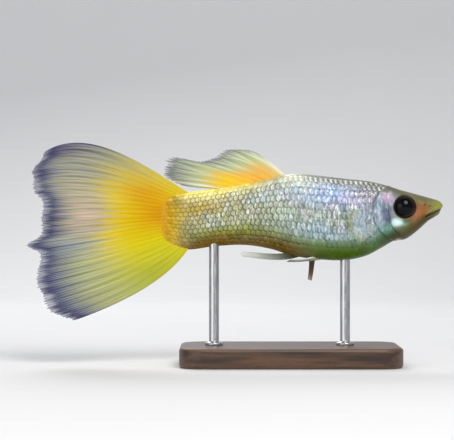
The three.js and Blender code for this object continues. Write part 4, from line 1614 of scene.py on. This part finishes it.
class FinSet:
    """All the fins with their plans and markings."""

    def __init__(self, places: FinPlaces) -> None:
        """Plans the fins.

        Args:
            places: Where their rays run.
        """
        self.caudal = Fin(
            "tail_fan",
            "caudal_fin",
            "caudal_membrane",
            RayPlan(26, 20, 84, 0.38, 0.05, 0.07, forks=(0.16, 0.45), ragged=0.014, deep=0.016, seed=5),
            places.caudal,
            "D8C008",
            (
                ("orange heart", 0.42, 0.1, 0.24, 0.25, "CC8A00", 0.95),
                ("upper orange", 0.22, 0.22, 0.12, 0.13, "D09400", 0.8),
                ("lemon lower root", 0.85, 0.22, 0.2, 0.34, "CEC40C", 0.95),
                ("green-gold lower edge", 0.97, 0.5, 0.16, 0.4, "A6AC3C", 0.95),
                ("cream band", 0.4, 0.78, 0.42, 0.27, "A29C76", 0.97, 2.2),
                ("pale upper edge", 0.02, 0.58, 0.09, 0.36, "A4A278", 0.92),
                ("upper cream", 0.12, 0.7, 0.15, 0.28, "7C8074", 0.94),
                ("rose middle", 0.44, 0.7, 0.12, 0.14, "C4A898", 0.7),
                ("green lower band", 0.84, 0.76, 0.24, 0.27, "9EA468", 0.95, 1.5),
                ("blue-grey lower middle", 0.62, 0.78, 0.07, 0.16, "7F8E96", 0.85),
                ("blue-grey lower corner", 0.82, 0.96, 0.24, 0.2, "4C5C6C", 0.92),
                ("grey band", 0.5, 0.99, 2.0, 0.16, "485478", 0.95, 1.5),
                ("upper rim", 0.0, 0.92, 0.08, 0.36, "20245A", 1.0, 1.6),
                ("dark rim", 0.5, 1.04, 2.0, 0.13, "181C56", 1.0, 1.7),
            ),
            see=(1.0, 0.97, 0.8),
            ray_colour="EFE9D6",
            ray_tone=0.26,
        )
        self.dorsal = Fin(
            "back_fin",
            "dorsal_fin",
            "dorsal_membrane",
            RayPlan(8, 26, 64, 0.42, 0.05, 0.12, forks=(0.25, 0.55), ragged=0.05, deep=0.015, seed=8),
            places.dorsal,
            "C4C88A",
            (
                ("orange foot", 0.45, 0.2, 0.45, 0.32, "EAAE44", 1.0, 1.4),
                ("yellow rear", 0.75, 0.3, 0.25, 0.22, "F0C81C", 0.9),
                ("white leading edge", 0.0, 0.5, 0.07, 1.0, "E6E6D6", 0.9),
                ("pale green middle", 0.5, 0.66, 1.5, 0.2, "ADBE90", 0.7),
                ("grey-green edge", 0.5, 1.0, 1.5, 0.3, "72806E", 0.95, 1.4),
                ("smoky hind tip", 0.82, 0.98, 0.22, 0.22, "56645A", 0.85),
                ("dark tips", 0.4, 1.06, 0.6, 0.14, "3A464C", 0.95, 1.4),
                ("white hind ray", 0.93, 0.7, 0.025, 0.45, "F6F4EA", 0.9, 2.0),
            ),
            see=(1.0, 0.92, 0.55),
            ray_colour="F4F1E2",
            ray_tone=0.4,
        )
        self.gonopodium = Fin(
            "anal_fin_rod",
            "gonopodium",
            "clear_fin",
            RayPlan(4, 12, 40, 0.34, 0.1, 0.14, forks=(0.6, 0.9), ragged=0.02, seed=13),
            places.gonopodium,
            "828A78",
            (
                ("pale tip", 0.6, 1.0, 0.6, 0.35, "E6EAE2", 0.85),
                ("dark root", 0.3, 0.0, 0.7, 0.3, "3E4630", 0.9),
            ),
            see=(0.98, 0.6, 0.3),
            ray_tone=0.85,
        )
        self.pelvic_right = Fin(
            "belly_fin_right",
            "pelvic_fin_right",
            "clear_fin",
            RayPlan(6, 14, 36, 0.22, 0.04, 0.09, ragged=0.03, seed=14),
            places.pelvic_right,
            "A8A890",
            (("white leading edge", 1.0, 0.6, 0.22, 0.6, "F2F2EA", 0.95),),
            see=(0.98, 0.75, 0.6),
            ray_tone=0.5,
        )
        self.pelvic_left = Fin(
            "belly_fin_left",
            "pelvic_fin_left",
            "clear_fin",
            RayPlan(6, 14, 36, 0.26, 0.06, 0.1, ragged=0.04, seed=15),
            # Painted shade: the brown base and brown rays stand for this far fin hanging in the body's
            # shadow.
            places.pelvic_left,
            "503822",
            (("pale tip", 0.5, 1.0, 0.7, 0.16, "DCB898", 0.95),),
            see=(1.0, 0.95, 0.85),
            ray_colour="A88468",
            ray_tone=0.4,
        )
        self.pectorals = [
            Fin(
                f"breast_fin_{side.name.lower()}",
                f"pectoral_fin_{side.name.lower()}",
                "clear_fin",
                RayPlan(13, 16, 44, 0.2, 0.035, 0.06, ragged=0.012, seed=11),
                places.pectoral(side),
                "AEB89A",
                (
                    ("smoky rim", 0.5, 1.0, 0.8, 0.2, "8E968A", 0.2),
                    ("pearl middle", 0.45, 0.55, 0.4, 0.3, "C0D4E6", 0.85),
                    ("green-gold rear edge", 0.5, 1.0, 0.7, 0.16, "868A28", 0.95),
                ),
                see=(0.3, 0.04, 0.34),
                ray_tone=0.2,
                ray_body=0.2,
            )
            for side in Side
        ]

    def build(self, finishes: Finishes) -> None:
        """Builds every fin in its finish.

        Args:
            finishes: Every finish.
        """
        self.caudal.build(finishes.fan)
        self.dorsal.build(finishes.fan)
        for fin in (self.gonopodium, self.pelvic_right, self.pelvic_left, *self.pectorals):
            fin.build(finishes.clear)


# Stand


@dataclass
class Stand:
    """The flat base and the two rods that hold the fish."""

    form: BodyForm
    length: float = 22.0
    width: float = 12.0
    thick: float = 2.0
    corner: float = 2.4
    bevel: float = 0.35
    inset: tuple[float, ...] = (0.5, 0.9, 1.6, 2.3)
    spokes: int = 25
    rod_radius: float = 0.5
    rod_spokes: int = 40
    rod_foot: float = 0.4
    rod_in_body: float = 0.5
    collar_radius: float = 0.92
    front_x: float = 5.5
    rear_x: float = -7.6

    def outline(self, inset: float) -> Array:
        """The base's rounded outline, drawn in by an inset: four quarter turns about the corner centres.

        Args:
            inset: How far the outline is drawn in.

        Returns:
            Points as x and y.
        """
        turn = np.linspace(0, QUARTER, self.spokes)
        radius = self.corner - inset
        cx, cy = self.length / 2 - self.corner, self.width / 2 - self.corner
        quarters = [
            stack(sx * cx + radius * np.cos(turn + start), sy * cy + radius * np.sin(turn + start))
            for sx, sy, start in ((1, 1, 0), (-1, 1, QUARTER), (-1, -1, math.pi), (1, -1, 1.5 * math.pi))
        ]
        return np.concatenate(quarters)

    def build_base(self, material: Material) -> None:
        """Builds the base: its outline carried up a side with rounded edges, and closed by inset rings.

        Args:
            material: The finish.
        """
        turn = np.linspace(0, QUARTER, 7)
        low = [(self.bevel * (1 - np.sin(t)), self.bevel * (1 - np.cos(t))) for t in turn]
        high = [(self.bevel * (1 - np.cos(t)), self.thick - self.bevel * (1 - np.sin(t))) for t in turn]
        inner = [(i, self.thick) for i in self.inset]
        floor = [(i, 0.0) for i in (2.3, 1.2, 0.6)]
        profile = floor + low + high + inner
        rings = np.stack([stack(*self.outline(i).T, z) for i, z in profile])
        edge = [
            bump((z - self.thick + 0.12) / 0.14) + 0.6 * bump((z - 0.12) / 0.12) if i < self.inset[0] else 0.0
            for i, z in profile
        ]
        edges = np.broadcast_to(np.array(edge)[:, None], rings.shape[:2])
        data = MeshData.tube(rings, np.stack([rings[0].mean(0), rings[-1].mean(0)]), edge=edges)
        settle(data.to_object("display_base", material), "stand_base", "stand_base")

    def turned(self, profile: list[Pair], x: float) -> MeshData:
        """Turns a profile of radius and height about an upright line.

        Args:
            profile: Radius and height pairs from bottom to top, both ends on the line.
            x: Where the line stands.

        Returns:
            The closed mesh.
        """
        radius, z = np.array(profile[1:-1]).T[..., None]
        turn = (np.arange(self.rod_spokes) / self.rod_spokes * TAU)[None, :]
        rings = stack(x + radius * np.cos(turn), radius * np.sin(turn), z)
        return MeshData.tube(rings, np.array([[x, 0, profile[0][1]], [x, 0, profile[-1][1]]]))

    def build_rods(self, material: Material) -> None:
        """Builds each rod, from a low collar on the base up into the body.

        Args:
            material: The finish.
        """
        r, wide = self.rod_radius, self.collar_radius
        for name, x in (("front", self.front_x), ("rear", self.rear_x)):
            belly = float(self.form.column(2, np.array([x]))[0])
            z0, top = self.thick, belly + self.rod_in_body
            collar = [(wide, z0 - 0.01), (wide, z0 + 0.2), (wide - 0.06, z0 + 0.28), (r + 0.08, z0 + 0.34)]
            foot = [(0, z0 - self.rod_foot), (r, z0 - self.rod_foot), (r, z0 - 0.01)]
            profile = foot + collar + [(r, z0 + 0.4), (r, top - 0.1), (r - 0.1, top), (0, top)]
            piece = self.turned(profile, x).to_object(f"rod_{name}", material)
            bevel = piece.modifiers.new("edges", "BEVEL")
            bevel.width, bevel.segments, bevel.limit_method = 0.03 * MM, 2, "ANGLE"
            settle(piece, "stand_rod", f"stand_rod_{name}")


# Studio


@dataclass
class Studio:
    """The floor, the lights and the camera."""

    aim: Pair = (-6.3, 14.5)
    frame_width: float = 45.4
    lens: float = 150.0
    sensor: float = 36.0
    floor_half: float = 500.0
    floor_front: float = -600.0
    bend_start: float = 150.0
    bend_radius: float = 120.0
    light_aim: Triple = (-3.0, 0.0, 14.0)
    sky: tuple[float, ...] = (0.94, 0.95, 1.0, 1.0)
    sky_strength: float = 0.42

    def build_floor(self, material: Material) -> None:
        """Builds a floor that sweeps up behind: level, then a quarter turn, then upright.

        Args:
            material: The finish.
        """
        turn = np.linspace(0, QUARTER, 24)
        start, radius = self.bend_start, self.bend_radius
        y = np.concatenate([[self.floor_front, start], start + radius * np.sin(turn), [start + radius]])
        z = np.concatenate([[0.0, 0.0], radius * (1 - np.cos(turn)), [self.floor_half]])
        x = np.linspace(-self.floor_half, self.floor_half, 21)
        point = stack(x[None, :], y[:, None], z[:, None])
        data = MeshData(points=point.reshape(-1, 3), quads=grid_faces(len(y), len(x)))
        data.to_object("floor", material)

    def light(self, name: str, place: Triple, size: float, watts: float, colour: Triple) -> None:
        """Hangs a round soft light that faces the fish.

        Args:
            name: The light's name.
            place: Where it hangs.
            size: Its width.
            watts: Its power.
            colour: Its colour.
        """
        lamp = bpy.data.lights.new(name, "AREA")
        lamp.shape = "DISK"
        lamp.size, lamp.energy, lamp.color = size * MM, watts, colour
        hung = bpy.data.objects.new(name, lamp)
        hung.location = tuple(p * MM for p in place)
        away = np.array(place) - np.array(self.light_aim)
        hung.rotation_euler = Vector(away).to_track_quat("Z", "Y").to_euler()
        bpy.context.scene.collection.objects.link(hung)

    def build_lights(self) -> None:
        """Hangs a key light above and ahead, a wide fill and a light from behind, in a pale room."""
        self.light("key", (60.0, -170.0, 175.0), 130.0, 0.36, (1.0, 0.98, 0.95))
        self.light("fill", (-150.0, -170.0, 60.0), 180.0, 0.12, (0.95, 0.97, 1.0))
        self.light("behind", (-40.0, 150.0, 150.0), 120.0, 0.16, (1.0, 1.0, 1.0))
        world = bpy.data.worlds.new("pale_room")
        world.use_nodes = True
        sky = world.node_tree.nodes["Background"]
        sky.inputs["Color"].default_value = self.sky
        sky.inputs["Strength"].default_value = self.sky_strength
        bpy.context.scene.world = world

    def build_camera(self) -> None:
        """Sets the camera level at the fish's right side, as far off as its long lens needs."""
        data = bpy.data.cameras.new("camera")
        data.lens, data.sensor_width = self.lens, self.sensor
        data.clip_start, data.clip_end = 0.005, 10.0
        away = self.lens / self.sensor * self.frame_width
        camera = bpy.data.objects.new("camera", data)
        camera.location = (self.aim[0] * MM, -away * MM, self.aim[1] * MM)
        camera.rotation_euler = (QUARTER, 0.0, 0.0)
        bpy.context.scene.collection.objects.link(camera)
        bpy.context.scene.camera = camera
        bpy.context.scene.view_settings.view_transform = "Standard"


def main() -> None:
    """Builds the fish, its stand and the studio, in order."""
    logging.basicConfig(level=logging.INFO, format="%(name)s: %(message)s")
    finishes = Finishes()
    form = BodyForm()
    arcs = ArcMap(form)
    colours = BodyColours()
    Skin(form, arcs, colours).build(finishes.skin)
    Scales(form, arcs, colours).build(finishes.plates)
    for side in Side:
        Eye(form, side).build(finishes.eye)
    FinSet(FinPlaces()).build(finishes)
    stand = Stand(form)
    stand.build_base(finishes.wood)
    stand.build_rods(finishes.steel)
    studio = Studio()
    studio.build_floor(finishes.floor)
    studio.build_lights()
    studio.build_camera()


if __name__ == "__main__":
    main()
